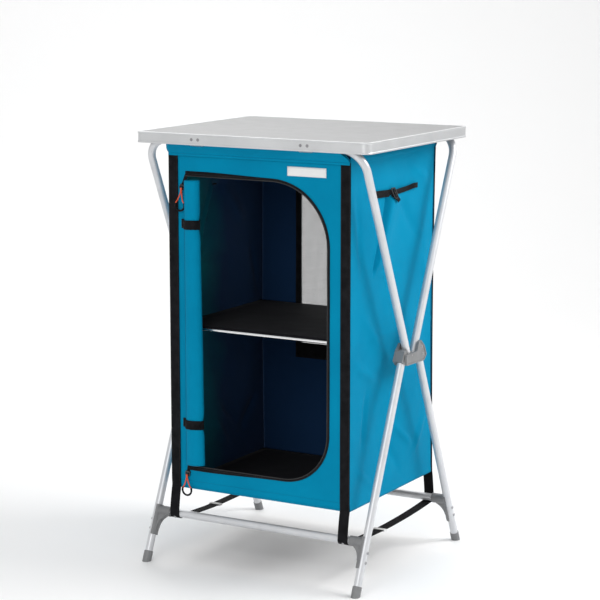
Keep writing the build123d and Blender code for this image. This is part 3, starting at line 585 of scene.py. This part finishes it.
def front_panel():
    """The front wall, cut out to the doorway's rounded outline, teal outside and navy inside."""
    step = 6 * MM
    xs = grid_lines(-HALF_X, HALF_X, step, (DOOR_LEFT, DOOR_RIGHT))
    zs = grid_lines(BOTTOM, SEAM_Z, step, (DOOR_BOTTOM, DOOR_TOP))
    inside = {
        (i, j)
        for i in range(len(zs) - 1)
        for j in range(len(xs) - 1)
        if doorway_gap((xs[j] + xs[j + 1]) / 2, (zs[i] + zs[i + 1]) / 2) > 0
    }

    def snapped(i, j):
        """A point near the doorway's rounded corners moves onto the outline."""
        x, z = xs[j], zs[i]
        gap = doorway_gap(x, z)
        around = [(i - 1, j - 1), (i - 1, j), (i, j - 1), (i, j)]
        kept = [cell in inside for cell in around]
        if any(kept) and not all(kept) and 0 < i < len(zs) - 1 and 0 < j < len(xs) - 1:
            e = 0.2 * MM
            slope = Vector((
                doorway_gap(x + e, z) - doorway_gap(x - e, z), doorway_gap(x, z + e) - doorway_gap(x, z - e)
            ))
            if slope.length > 0:
                slope.normalize()
                x, z = x - slope.x * gap, z - slope.y * gap
        return x, front_y(x, z), z

    obj = shell(
        "front wall", len(zs), len(xs), snapped, lambda i, j: (0, -1, 0), CLOTH,
        [cloth_teal, cloth_inner], "front_wall", lambda i, j: (i, j) in inside,
    )
    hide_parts("front_panel")


def rear_y(x, z):
    """The rear wall's face, drawn in at its corners by the side walls' pull."""
    edge = smooth_step(0.55, 1.0, abs(x) / HALF_X)
    slow = noise.noise(Vector((x * 7, z * 5, 5.2)))
    calm = smooth_step(0.0, 0.15, 1 - abs(x) / HALF_X)
    return WALL_Y - waist(z) * edge + calm * slow * 2.0 * MM


WINDOW_X = HALF_X - 107 * MM
WINDOW_LOW = BOTTOM + 280 * MM
WINDOW_HIGH = SEAM_Z - 60 * MM
BORDER = 13 * MM


def rear_panel():
    """The rear wall with its window, whose edge is bound in black."""
    step = 7 * MM
    edge, lap = WINDOW_X + BORDER, 2 * MM
    xs = grid_lines(-HALF_X, HALF_X, step, (-WINDOW_X, WINDOW_X, -edge, edge))
    zs = grid_lines(
        BOTTOM, SEAM_Z, step, (WINDOW_LOW, WINDOW_HIGH, WINDOW_LOW - BORDER, WINDOW_HIGH + BORDER)
    )

    def there(i, j):
        x, z = (xs[j] + xs[j + 1]) / 2, (zs[i] + zs[i + 1]) / 2
        return not (abs(x) < WINDOW_X and WINDOW_LOW < z < WINDOW_HIGH)

    obj = shell(
        "rear wall", len(zs), len(xs), lambda i, j: (xs[j], rear_y(xs[j], zs[i]), zs[i]),
        lambda i, j: (0, 1, 0), CLOTH, [cloth_teal, cloth_inner], "rear_wall", there,
    )
    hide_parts("rear_panel")
    for k, (low, high) in enumerate((
        ((-edge, WINDOW_LOW - 35 * MM), (edge, WINDOW_LOW + lap)),
        ((-edge, WINDOW_HIGH - lap), (edge, WINDOW_HIGH + BORDER)),
        ((-edge, WINDOW_LOW), (-WINDOW_X + lap, WINDOW_HIGH)),
        ((WINDOW_X - lap, WINDOW_LOW), (edge, WINDOW_HIGH)),
    )):
        rows = grid_lines(low[1], high[1], 9 * MM)
        cols = grid_lines(low[0], high[0], step)
        shell(
            f"window binding inside {k}", len(rows), len(cols),
            lambda i, j: (cols[j], rear_y(cols[j], rows[i]) - CLOTH - 1.55 * MM, rows[i]),
            lambda i, j: (0, -1, 0), 1.1 * MM, [tape_black], "rear_wall",
        )
    outline = window_outline(6 * MM)
    points = [(x, rear_y(x, z) + 0.4 * MM, z) for x, z in outline]
    tube("window piping", points, 2.4 * MM, 8, [tape_black], "rear_wall", closed=True)


def window_outline(radius):
    corners = (
        (WINDOW_X - radius, WINDOW_HIGH - radius, 0),
        (-WINDOW_X + radius, WINDOW_HIGH - radius, 90),
        (-WINDOW_X + radius, WINDOW_LOW + radius, 180),
        (WINDOW_X - radius, WINDOW_LOW + radius, 270),
    )
    points = []
    for x, z, start in corners:
        for k in range(7):
            turn = radians(start + 15 * k)
            points.append((x + radius * cos(turn), z + radius * sin(turn)))
    return points


def rear_net():
    """A fine net with square meshes that fills the window, in two sets of flat cords."""
    pitch, cord, thick = 2.5 * MM, 0.85 * MM, 0.4 * MM
    verts, faces = [], []
    reach_x, low_z, high_z = WINDOW_X + 4 * MM, WINDOW_LOW - 4 * MM, WINDOW_HIGH + 4 * MM

    def strand(points, across, depth):
        """A flat cord along points, a closed bar of four sides."""
        faces.extend(ring_faces(len(points), 4, start=len(verts)))
        for point in points:
            for side, out in ((-1, -1), (1, -1), (1, 1), (-1, 1)):
                reach = Vector(across) * side * cord / 2
                verts.append(Vector(point) + reach + Vector((0, out * thick / 2 + depth, 0)))

    behind, apart = CLOTH + 0.75 * MM, 0.2 * MM
    column = [mix(low_z, high_z, k / 14) for k in range(15)]
    row = [mix(-reach_x, reach_x, k / 8) for k in range(9)]
    x = -reach_x + pitch / 2
    while x < reach_x:
        strand([(x, rear_y(x, z) - behind, z) for z in column], (1, 0, 0), apart)
        x += pitch
    z = low_z + pitch / 2
    while z < high_z:
        strand([(x, rear_y(x, z) - behind, z) for x in row], (0, 0, 1), -apart)
        z += pitch
    obj = make("rear net", verts, faces, [net_grey], "rear_wall", smooth=False, outward=False)
    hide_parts("rear_mesh")


# Side walls
TENSION_Z = (tension_low.z + tension_high.z) / 2 - 4 * MM
FOLD_TIP = Vector((-91 * MM, 690 * MM))
FOLD_TOP = 856 * MM
SEAM_SAG = 6 * MM


def side_reach(z):
    """Where the side wall ends at the rear, at a height."""
    over = smooth_step(SEAM_Z - 6 * MM, SIDE_TOP, z)
    return WALL_Y - CLOTH - 1.0 * MM - waist(z) + over * 4 * MM


# Creases of a side wall: both ends as (y, z), the width and the height of each
CREASES = [
    (Vector((y0, z0)) * MM, Vector((y1, z1)) * MM, width * MM, height * MM)
    for y0, z0, y1, z1, width, height in (
        (-118, 440, -142, 305, 11, -3.4),
        (-190, 505, -70, 448, 12, 3.0),
        (5, 330, 92, 268, 9, 3.4),
        (-30, 300, 40, 215, 12, -2.6),
        (-150, 612, -62, 520, 14, 2.4),
        (38, 566, 132, 462, 15, -3.2),
        (96, 246, 172, 332, 13, 3.0),
        (-172, 262, -96, 212, 11, 3.0),
        (20, 860, 120, 760, 16, -2.6),
        (80, 930, 180, 880, 14, 2.6),
        (-180, 900, -150, 700, 13, -3.0),
        (150, 700, 186, 560, 12, 2.6),
        (-92, 693, 34, 684, 6, 1.3),
    )
]


def crease_at(y, z, start, end, width):
    """A crease's height from 0 to 1 at a point: a round ridge that tapers towards both of its ends."""
    along = end - start
    t = (Vector((y, z)) - start).dot(along) / along.length_squared
    near = start + along * t
    off = (Vector((y, z)) - near).length
    taper = smooth_step(-0.15, 0.35, t) * smooth_step(-0.15, 0.35, 1 - t)
    return taper * exp(-((off / width) ** 2))


def side_out(y, z):
    """How far the right-hand wall stands out from its plane: broad slack, and the strap's fold."""
    u = (y + WALL_Y) / (2 * WALL_Y)
    v = (z - BOTTOM) / (SEAM_Z - BOTTOM)
    calm = smooth_step(0.0, 0.14, u) * smooth_step(0.0, 0.14, 1 - u) * smooth_step(0.0, 0.12, v)
    slow = noise.noise(Vector((y * 5.5, z * 3.4, 3.3)))
    diagonal = noise.noise(Vector(((y + z * 0.7) * 9.0, (z - y * 0.7) * 2.6, 6.1)))
    crumple = noise.noise(Vector((y * 21, z * 15, 1.7)))
    out = calm * (5.0 * slow + 3.4 * diagonal + 0.9 * crumple) * MM
    # the strap gathers the cloth: a fold that opens upwards, with a hollow behind it
    along = (z - FOLD_TIP.y) / (FOLD_TOP - FOLD_TIP.y)
    if along > 0:
        t = min(along, 1.0)
        fade = 1 - smooth_step(1.0, 1.12, along)
        crest_y = mix(FOLD_TIP.x, -18 * MM, t ** 1.15)
        width = mix(6 * MM, 20 * MM, t)
        lean = (y - crest_y) / width
        ridge = exp(-(lean ** 2)) if lean < 0 else exp(-((lean * width / (46 * MM)) ** 2))
        out += fade * smooth_step(0.0, 0.2, t) * mix(6.0, 13.0, t) * ridge * MM
        tuck = bump(y, crest_y - 0.9 * width, mix(3.2 * MM, 5.5 * MM, t))
        out -= fade * smooth_step(0.0, 0.12, t) * mix(8.0, 12.0, t) * tuck * MM
    for start, end, width, height in CREASES:
        out += 1.7 * calm * height * crease_at(y, z, start, end, width)
    # the strap's pull draws a shallow dent in the cloth under it
    out -= 2.2 * MM * bump(z, TENSION_Z, 26 * MM) * smooth_step(0.0, 0.12, u) * smooth_step(0.3, 0.55, 1 - u)
    # the top hem turns over along a slightly sagging crease
    crease = SEAM_Z - 6 * MM + SEAM_SAG * (2 * u - 1) ** 2
    out += 1.1 * MM * bump(z, crease + 5 * MM, 6 * MM) - 1.2 * MM * bump(z, crease - 3 * MM, 4 * MM)
    # a shelf's height shows as a faint line, and the bottom hem is rolled
    out += 0.9 * MM * bump(z, deck_low.z - 4 * MM, 5 * MM)
    out += 1.0 * MM * bump(z, BOTTOM + 5 * MM, 4 * MM)
    return out


def side_panels():
    for hand, name in SIDES:
        zs = grid_lines(BOTTOM, SIDE_TOP, 5.5 * MM)
        count = 112

        def place(i, j, hand=hand, zs=zs):
            z = zs[i]
            u = j / (count - 1)
            y = mix(-WALL_Y + CLOTH + 0.5 * MM, side_reach(z), u)
            # the rear edge turns towards the rear wall where the waist draws it in
            stand = side_out(y, z) - waist(z) * 0.12 * smooth_step(0.8, 1.0, u)
            return hand * (HALF_X + stand), y, z

        obj = shell(
            f"side wall {name}", len(zs), count, place, lambda i, j, hand=hand: (hand, 0, 0), CLOTH,
            [cloth_teal, cloth_inner], "cabinet",
        )
        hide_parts(f"side_panel_{name}")
        squash(obj)


def squash(obj):
    """Gives the object a mesh of its own."""
    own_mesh(obj)


def base_and_shelf():
    for name, node, low, high, sag in (
        ("bottom panel", "base_panel", base_low, base_high, 1.2 * MM),
        ("shelf panel", "shelf_deck", deck_low, deck_high, 0.5 * MM),
    ):
        rows, cols = 25, 27

        def place(i, j, low=low, high=high, sag=sag):
            u, v = j / (cols - 1), i / (rows - 1)
            dip = sag * sin(pi * u) * sin(pi * v)
            wave = 0.25 * MM * noise.noise(Vector((u * 5, v * 5, sag * 900)))
            return mix(low.x, high.x, u), mix(low.y, high.y, v), high.z - dip + wave

        obj = shell(
            name, rows, cols, place, lambda i, j: (0, 0, 1), high.z - low.z - 0.1 * MM,
            [cloth_black], "cabinet",
        )
        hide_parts(node)
        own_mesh(obj)


# Sleeves round the upper crossbars
BAR_R = 9 * MM
BAR_Y = edge_high.y - 14.5 * MM
BAR_Z = sleeve_high.z - 1.5 * MM - BAR_R
RING = BAR_R + 0.9 * MM
HEM_Y = WALL_Y + 4.9 * MM
HEM_Z = SEAM_Z - 9 * MM


def sleeves():
    """A wide strip of cloth from the wall's seam, over the crossbar and back down to the seam."""
    for side, name in ENDS:
        profile = [(WALL_Y + 0.3 * MM, SEAM_Z + 1 * MM)]
        for k in range(19):
            turn = radians(mix(205, -40, k / 18))
            profile.append((BAR_Y + RING * cos(turn), BAR_Z + RING * sin(turn)))
        start = profile[-1]
        for k in range(1, 6):
            profile.append((mix(start[0], HEM_Y, k / 5), mix(start[1], SEAM_Z - 2 * MM, k / 5)))
        profile.append((HEM_Y - 0.3 * MM, HEM_Z + 4 * MM))
        profile.append((HEM_Y - 0.2 * MM, HEM_Z))
        cols = 61

        def place(i, j, side=side, profile=profile):
            y, z = profile[i]
            u = 2 * j / (cols - 1) - 1
            half = mix(HALF_X + 1 * MM, sleeve_high.x + 7 * MM, smooth_step(SEAM_Z, BAR_Z - 4 * MM, z))
            low = 1 - smooth_step(SEAM_Z - 4 * MM, BAR_Z - 8 * MM, z)
            wave = low * 0.7 * MM * noise.noise(Vector((u * 4, z * 30, side * 2.0)))
            return u * half, side * (y + max(wave, 0.0)), z

        def facing(i, j, side=side, profile=profile):
            a, b = profile[max(i - 1, 0)], profile[min(i + 1, len(profile) - 1)]
            along = Vector((b[0] - a[0], b[1] - a[1])).normalized()
            return 0, -side * along.y, along.x

        obj = shell(
            f"{name} sleeve cloth", len(profile), cols, place, facing, 0.9 * MM,
            [cloth_teal], f"{name}_wall",
        )
        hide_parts(f"{name}_sleeve")
        slacken(obj)
        reach = HALF_X - 2 * MM
        line = [
            Vector((mix(-reach, reach, k / 60), side * (HEM_Y + 0.5 * MM), HEM_Z + 5 * MM)) for k in range(61)
        ]
        slacken(stitches(
            f"{name} sleeve stitches", [line], (0, side, 0), cloth_dark_teal, f"{name}_wall"
        ))


def slacken(obj):
    """Gives the object a mesh of its own."""
    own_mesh(obj)


def stitches(name, lines, outward, material, body, pitch=3.6 * MM, length=2.5 * MM, width=0.7 * MM):
    """Rows of short raised stitches along lines of points, standing out along the outward direction."""
    out = Vector(outward)
    verts, faces = [], []
    for line in lines:
        travelled, due = 0.0, pitch / 2
        for a, b in zip(line, line[1:]):
            span = (b - a).length
            while span > 0 and due <= travelled + span:
                middle = a.lerp(b, (due - travelled) / span)
                along = (b - a).normalized()
                across = along.cross(out).normalized()
                faces.extend(ring_faces(2, 4, start=len(verts)))
                for share, lift in ((0.5, -0.3), (0.3, 0.45)):
                    for e, w in ((-1, -1), (1, -1), (1, 1), (-1, 1)):
                        flat = along * length * share * e + across * width * share * w
                        verts.append(middle + flat + out * width * lift)
                due += pitch
            travelled += span
    return make(name, verts, faces, [material], body, smooth=False)


# Rolled door, held by two ties
ROLL_Y = (roll_low.y + roll_high.y) / 2
ROLL_LEFT = roll_low.x
TIE_Z = (DOOR_TOP - 112 * MM, DOOR_BOTTOM + 104 * MM)
TIE_H = 21 * MM


def roll_scale(z):
    """The roll's size at a height: nipped at the ties, slack between them and looser at the foot."""
    nip = max(bump(z, TIE_Z[0], 17 * MM), bump(z, TIE_Z[1], 17 * MM))
    loose = smooth_step(roll_high.z, roll_low.z, z)
    return (1.0 + 0.19 * loose) * (1 - 0.1 * nip) + 0.012 * noise.noise(Vector((z * 11, 3.0, 1.0)))


def roll_point(turn, z, grow=0.0):
    """A point on the roll's round at an angle from the front and a height."""
    size = roll_scale(z)
    half_x = 20.5 * MM * size
    half_y = 13.5 * MM * (1 + 0.6 * (size - 1))
    ripple = 0.35 * MM * noise.noise(Vector((cos(turn) * 1.5, sin(turn) * 1.5, z * 9)))
    x = ROLL_LEFT + half_x + (half_x + ripple + grow) * sin(turn)
    return x, ROLL_Y - (half_y + ripple + grow) * cos(turn)


def door_roll():
    """The door, rolled up like a scroll. Its free edge ends in a step at the left of its front."""
    rows = round((roll_high.z - roll_low.z) / (6 * MM))
    turns, per_turn = 3, 40
    count = turns * per_turn + 1
    zs = [mix(roll_low.z, roll_high.z, k / (rows - 1)) for k in range(rows)]

    def angle_at(j):
        return radians(-62) + 2 * pi * j / per_turn

    def place(i, j):
        z = zs[i]
        angle = angle_at(j)
        inward = 2.4 * MM * j / per_turn
        x, y = roll_point(angle, z, -inward)
        end = smooth_step(0.0, 0.02, i / (rows - 1)) * smooth_step(0.0, 0.02, 1 - i / (rows - 1))
        droop = (1 - end) * 0.6 * MM * sin(angle)
        return x, y, z + droop

    def facing(i, j):
        return sin(angle_at(j)), -cos(angle_at(j)), 0

    obj = shell(
        "rolled door", rows, count, place, facing, 1.5 * MM, [cloth_teal, cloth_inner],
        "front_wall",
    )
    length = sum(
        (Vector(place(rows // 2, j + 1)) - Vector(place(rows // 2, j))).length for j in range(count - 1)
    )
    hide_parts("door_roll")
    seam = []
    for z in zs[2:-2]:
        x, y = roll_point(radians(-50), z, 0.2 * MM)
        seam.append(Vector((x, y, z)))
    stitches("rolled door stitches", [seam], (-0.5, -0.85, 0), cloth_dark_teal, "front_wall")


def door_ties():
    """Two bands round the roll, each sewn to the wall beside it by a short tab."""
    steps, rows, tab = 44, 5, 3

    def angle_at(j):
        return mix(radians(-80), radians(215), (j - tab) / (steps - tab - 1))

    def facing(i, j):
        if j < tab:
            return 0, -1, 0
        return sin(angle_at(j)), -cos(angle_at(j)), 0

    for k, z in enumerate(TIE_Z):
        face = front_y(DOOR_LEFT - 8 * MM, z)

        def place(i, j, z=z, face=face):
            height = z + mix(-TIE_H / 2, TIE_H / 2, i / (rows - 1))
            if j < tab:
                return mix(DOOR_LEFT - 12 * MM, DOOR_LEFT - 2 * MM, j / (tab - 1)), face - 2.2 * MM, height
            x, y = roll_point(angle_at(j), z, 2.0 * MM)
            return x, y, height + 0.3 * MM * sin(3 * angle_at(j))

        obj = shell(
            f"door tie {k}", rows, steps, place, facing, 1.3 * MM, [webbing_black], "front_wall"
        )
        if k == 0:
            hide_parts("door_ties")
        left, right, half = DOOR_LEFT - 11 * MM, DOOR_LEFT - 3 * MM, 8 * MM
        corners = ((left, -half), (right, -half), (right, half), (left, half), (left, -half))
        box = [Vector((x, face - 2.4 * MM, z + rise)) for x, rise in corners]
        stitches(
            f"door tie stitches {k}", [box], (0, -1, 0), thread_black, "front_wall",
            2.4 * MM, 1.7 * MM, 0.5 * MM,
        )


# Straps
LOWER_BAR_Y = -(bar_low.y + bar_high.y) / 2
LOWER_BAR_Z = (bar_low.z + bar_high.z) / 2
STRAP_T = 1.5 * MM
STRAP_W = strap_high.x - strap_low.x
STRAP_X = (strap_high.x + strap_low.x) / 2
ROUND_R = 9 * MM + 0.4 * MM + STRAP_T / 2


def corner_path(side, hand):
    """A corner strap's middle line: down the wall, across to the lower crossbar and round under it."""
    x = hand * STRAP_X
    path = []
    top, foot = strap_high.z - 2 * MM, BOTTOM + 4 * MM
    for k in range(49):
        z = mix(top, foot, k / 48)
        face = front_y(x, z) if side < 0 else -rear_y(x, z)
        path.append(Vector((x, -side * (face - STRAP_T / 2 - 0.9 * MM), z)))
    end = path[-1].copy()
    touch = Vector((x, side * (LOWER_BAR_Y + ROUND_R), LOWER_BAR_Z))
    for k in range(1, 12):
        t = k / 12
        bow = 1.2 * MM * sin(pi * t)
        path.append(end.lerp(touch, t) + Vector((0, side * bow, 0)))
    for k in range(9):
        turn = radians(-95 * k / 8)
        path.append(Vector((
            x, side * (LOWER_BAR_Y + ROUND_R * cos(turn)), LOWER_BAR_Z + ROUND_R * sin(turn)
        )))
    return path


def edge_rows(path, width, out):
    """Two lines of points beside a strap's middle line, for the stitching along its edges."""
    reach = width / 2 - 2.4 * MM
    return [
        [p + Vector((side * reach, 0, 0)) + out * (STRAP_T / 2) for p in path] for side in (-1, 1)
    ]


def corner_straps():
    for side, name in ENDS:
        for hand, word in SIDES:
            path = corner_path(side, hand)
            obj = ribbon(
                f"{name} corner strap {word}", path, STRAP_W, STRAP_T, (1, 0, 0), [webbing_black],
                f"{name}_wall",
            )
            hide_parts(f"{name}_strap_{word}")
            out = Vector((0, side, 0))
            rows = edge_rows(path[:49], STRAP_W, out)
            stitches(f"{name} strap stitches {word}", rows, out, thread_black, f"{name}_wall")
            down = Vector((0, side * cos(radians(42)), -sin(radians(42))))
            tack = Vector((hand * STRAP_X, side * LOWER_BAR_Y, LOWER_BAR_Z)) + down * (ROUND_R + STRAP_T / 2)
            rivet_head(f"{name} strap rivet {word}", tack, down, 2.8 * MM, f"{name}_wall")


def rivet_head(name, place, out, radius, body):
    """A domed rivet head on a small washer rim."""
    side = out.orthogonal().normalized()
    up = out.cross(side)
    profile = ((1.25, 0.0), (1.25, 0.12), (1.0, 0.2), (0.92, 0.34), (0.66, 0.52), (0.3, 0.6))
    sides = 20
    verts = []
    for reach, lift in profile:
        for j in range(sides):
            turn = 2 * pi * j / sides
            verts.append(place + (side * cos(turn) + up * sin(turn)) * radius * reach + out * radius * lift)
    make(name, verts, ring_faces(len(profile), sides), [steel], body)


def side_straps():
    """A strap under each side from crossbar to crossbar, which hangs a little between them."""
    for hand, word in SIDES:
        x = hand * STRAP_X
        sag = 9 * MM
        base = LOWER_BAR_Z - ROUND_R - 0.6 * MM
        path = []
        for k in range(41):
            u = 2 * k / 40 - 1
            twist = 0.5 * MM * noise.noise(Vector((u * 4, hand * 3.0, 0.5)))
            path.append(Vector((x, u * LOWER_BAR_Y, base - sag * (1 - u * u) + twist * (1 - u * u))))
        obj = ribbon(
            f"under strap {word}", path, STRAP_W, STRAP_T, (1, 0, 0), [webbing_black], "cabinet"
        )
        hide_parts(f"side_strap_{word}")
        squash_strap(obj)
        slide = strap_slide(word, x, base - 0.96 * sag)
        if hand > 0:
            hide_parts("strap_slides")
        squash_strap(slide)


def squash_strap(obj):
    """Gives the object a mesh of its own."""
    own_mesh(obj)


def strap_slide(word, x, z):
    """A white slide: a rounded frame round the strap."""
    half_w, half_h = STRAP_W / 2 + 3.2 * MM, 2.4 * MM
    end_wall, flat_wall, bevel = 2.4 * MM, 0.9 * MM, 0.5 * MM
    low, high, bevel_y = slides_low.y, slides_high.y, 1 * MM
    sides, squareness = 20, 1.35
    rings = (
        (low, bevel, bevel), (low + bevel_y, 0.0, 0.0), (high - bevel_y, 0.0, 0.0), (high, bevel, bevel),
        (high, end_wall, flat_wall), (low, end_wall, flat_wall),
    )
    verts = []
    for y, inset_x, inset_z in rings:
        for k in range(sides):
            turn = 2 * pi * k / sides
            across = max(min(cos(turn) * squareness, 1), -1)
            up = max(min(sin(turn) * squareness, 1), -1)
            verts.append((x + (half_w - inset_x) * across, y, z + (half_h - inset_z) * up))
    faces = ring_faces(len(rings), sides, closed=True)
    return make(f"strap slide {word}", verts, faces, [white_plastic], "cabinet")


def tension_straps():
    """A strap on each side that takes in the cloth, its lock and its loose end."""
    z, clear, lock_lift = TENSION_Z + 4 * MM, 2.8 * MM, 2.4 * MM
    corners = ((-22, -9), (-20, -11), (-6, -11), (-4, -9), (-4, 9), (-6, 11), (-20, 11), (-22, 9))
    for hand, word in SIDES:
        def at(y, z, lift=0.0, hand=hand):
            stand = max(side_out(y, z), -0.5 * MM) + clear + lift
            return Vector((hand * (HALF_X + stand), y, z))

        def webbing(part, points, width, across=(0, 0, 1), word=word):
            name = f"take up {part} {word}"
            return ribbon(name, points, width, 1.2 * MM, across, [webbing_black], "cabinet")

        path = [at(mix(-98 * MM, -4 * MM, k / 16), z + 4 * MM * (1 - k / 16)) for k in range(17)]
        strap = webbing("strap", path, 16 * MM)
        if hand > 0:
            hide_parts("tension_straps")
        squash(strap)
        tail = []
        for k in range(21):
            t = k / 20
            rise = 6 * MM * t + 2.4 * MM * bump(t, 0.8, 0.12)
            curl = 3.2 * MM * bump(t, 0.82, 0.12)
            tail.append(at(mix(-4 * MM, 112 * MM, t), z + rise, 1.2 * MM + curl))
        squash(webbing("tail", tail, 12 * MM))
        outline = [at(y * MM, z + rise * MM, lock_lift) for y, rise in corners]
        lock = tube(
            f"ladder lock {word}", outline, 1.6 * MM, 10, [black_plastic], "cabinet", closed=True
        )
        if hand > 0:
            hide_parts("ladder_locks")
        squash(lock)
        bar = [at(-13 * MM, z + rise, lock_lift) for rise in (-11 * MM, 11 * MM)]
        squash(tube(f"ladder lock bar {word}", bar, 1.4 * MM, 10, [black_plastic], "cabinet"))
        drop = [at(-22 * MM + 18 * MM * k / 6, z - 2 * MM - 17 * MM * k / 6, 2.6 * MM) for k in range(7)]
        squash(webbing("flap", drop, 13 * MM, (0, 0.85, 0.35)))


# Zip
def doorway_outline(offset):
    """Points along the doorway's sewn edge, from its top left corner round to its bottom left corner."""
    step, bend = 7 * MM, 24
    left = DOOR_LEFT - 1 * MM
    high_x, high_z, high_r = DOOR_RIGHT - DOOR_TOP_R, DOOR_TOP - DOOR_TOP_R, DOOR_TOP_R + offset
    low_x, low_z, low_r = DOOR_RIGHT - DOOR_BOTTOM_R, DOOR_BOTTOM + DOOR_BOTTOM_R, DOOR_BOTTOM_R + offset
    count = round((high_x - left) / step)
    points = [(mix(left, high_x, k / count), DOOR_TOP + offset) for k in range(count + 1)]
    for k in range(1, bend + 1):
        turn = radians(90 - 90 * k / bend)
        points.append((high_x + high_r * cos(turn), high_z + high_r * sin(turn)))
    start = points[-1][1]
    points += [(DOOR_RIGHT + offset, mix(start, low_z, k / 39)) for k in range(1, 40)]
    for k in range(1, bend + 1):
        turn = radians(-90 * k / bend)
        points.append((low_x + low_r * cos(turn), low_z + low_r * sin(turn)))
    count = round((low_x - left) / step)
    points += [(mix(low_x, left, k / count), DOOR_BOTTOM - offset) for k in range(1, count + 1)]
    return points


def zip_band():
    """The tape sewn round the doorway, with its coil along the inner edge and its tails at the left."""
    inner, outer = doorway_outline(-1.5 * MM), doorway_outline(8.5 * MM)
    reach = (0.0, 0.25, 0.8, 1.0)
    lift = (0.6 * MM, 1.5 * MM, 1.5 * MM, 1.0 * MM)
    cols = len(inner)

    def place(i, j):
        left = smooth_step(60 * MM, -150 * MM, inner[j][0])
        t = reach[i] * mix(0.48, 1.0, left)
        x, z = mix(inner[j][0], outer[j][0], t), mix(inner[j][1], outer[j][1], t)
        return x, front_y(x, z) - lift[i], z

    obj = shell(
        "zip tape", len(reach), cols, place, lambda i, j: (0, -1, 0), 0.9 * MM, [tape_black],
        "front_wall",
    )
    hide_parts("zip_tape")
    coil = [Vector((x, front_y(x, z) - 0.7 * MM, z)) for x, z in doorway_outline(-2.4 * MM)]
    tube("zip coil", coil, 1.5 * MM, 8, [black_plastic], "front_wall")
    sewn = [Vector((x, front_y(x, z) - 1.6 * MM, z)) for x, z in doorway_outline(1.9 * MM)]
    stitches("zip stitches", [sewn], (0, -1, 0), thread_black, "front_wall")
    width = 8.2 * MM
    for k, (start, end) in enumerate((
        ((DOOR_LEFT + 2 * MM, DOOR_TOP + 1 * MM), (DOOR_LEFT - 11.5 * MM, DOOR_TOP - 34 * MM)),
        ((DOOR_LEFT + 2 * MM, DOOR_BOTTOM + 2 * MM), (DOOR_LEFT - 2 * MM, DOOR_BOTTOM - 23 * MM)),
    )):
        away = Vector((end[0] - start[0], 0, end[1] - start[1])).normalized()
        across = Vector((away.z, 0, -away.x))
        path = []
        for n in range(9):
            x, z = mix(start[0], end[0], n / 8), mix(start[1], end[1], n / 8)
            path.append((x, front_y(x, z) - 0.9 * MM, z))
        ribbon(f"zip tail {k}", path, width, 1.1 * MM, across, [tape_black], "front_wall")


PULLS = (
    ("top", Vector((-199.168, -214.5, 879.528)) * MM, 56 * MM, 12.2 * MM, -4.0 * MM),
    ("bottom", Vector((-191.052, -214.5, 210.925)) * MM, 53 * MM, 12.2 * MM, 0.0),
)


def zip_pulls():
    """A cord loop on each slider: two orange strands that part into a black grip."""
    for name, pivot, length, half, shift in PULLS:
        count = 56
        middle = pivot.z - length + half + 2 * MM
        neck = mix(pivot.z, middle, 0.3)
        loop = []
        for k in range(count + 1):
            angle = mix(radians(38), radians(322), k / count)
            loop.append(Vector((
                pivot.x + shift + half * sin(angle), pivot.y, middle + half * cos(angle)
            )))
        lead_in = [
            Vector((pivot.x + 1.0 * MM, pivot.y, pivot.z - 1.5 * MM)),
            Vector((pivot.x + 0.9 * MM, pivot.y, neck)),
        ]
        lead_out = [
            Vector((pivot.x - 0.9 * MM, pivot.y, neck)),
            Vector((pivot.x - 1.0 * MM, pivot.y, pivot.z - 1.5 * MM)),
        ]
        path = smooth_line(lead_in + loop + lead_out, 3)
        low = middle + half * 0.45
        grip = [p for p in path if p.z <= low]
        body = f"pull_{name}"
        obj = tube(f"pull grip {name}", grip, 2.3 * MM, 12, [black_cord], body)
        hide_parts(f"zip_pull_{name}")
        bottom = len(path) // 2
        for word, part in (("right", path[:bottom]), ("left", path[bottom:])):
            strand = [p for p in part if p.z >= low - 1 * MM]
            tube(f"pull strand {word} {name}", strand, 1.45 * MM, 10, [orange_plastic], body)
        knot = [Vector((pivot.x, pivot.y, pivot.z - drop)) for drop in (11 * MM, 14 * MM)]
        tube(f"pull binding {name}", knot, 2.9 * MM, 12, [orange_plastic], body)


def smooth_line(points, rounds):
    """Cuts the corners of a line of points, keeping its two ends."""
    for _ in range(rounds):
        cut = [points[0]]
        for a, b in zip(points, points[1:]):
            cut += [a.lerp(b, 0.25), a.lerp(b, 0.75)]
        points = cut + [points[-1]]
    return points


def label():
    """A bare white woven patch, sewn on near the front's top right corner."""
    low_x, high_x, low_z, high_z = 76 * MM, 174 * MM, 920 * MM, 941 * MM
    rows, cols = 5, 18

    def place(i, j):
        x, z = mix(low_x, high_x, j / (cols - 1)), mix(low_z, high_z, i / (rows - 1))
        return x, front_y(x, z) - 0.8 * MM, z

    shell(
        "label patch", rows, cols, place, lambda i, j: (0, -1, 0), 0.5 * MM, [label_white],
        "front_wall",
    )


def front_hems():
    """Two rows of stitching above the front's bottom edge."""
    xs = grid_lines(-HALF_X + 4 * MM, HALF_X - 4 * MM, 8 * MM)
    lines = []
    for z in (BOTTOM + 5 * MM, BOTTOM + 19 * MM):
        lines.append([Vector((x, front_y(x, z) - 0.15 * MM, z)) for x in xs])
    stitches("front hem stitches", lines, (0, -1, 0), cloth_dark_teal, "front_wall")


front_panel()
rear_panel()
rear_net()
side_panels()
base_and_shelf()
sleeves()
door_roll()
door_ties()
corner_straps()
side_straps()
tension_straps()
zip_band()
zip_pulls()
label()
front_hems()
camera()
lights()
floor()
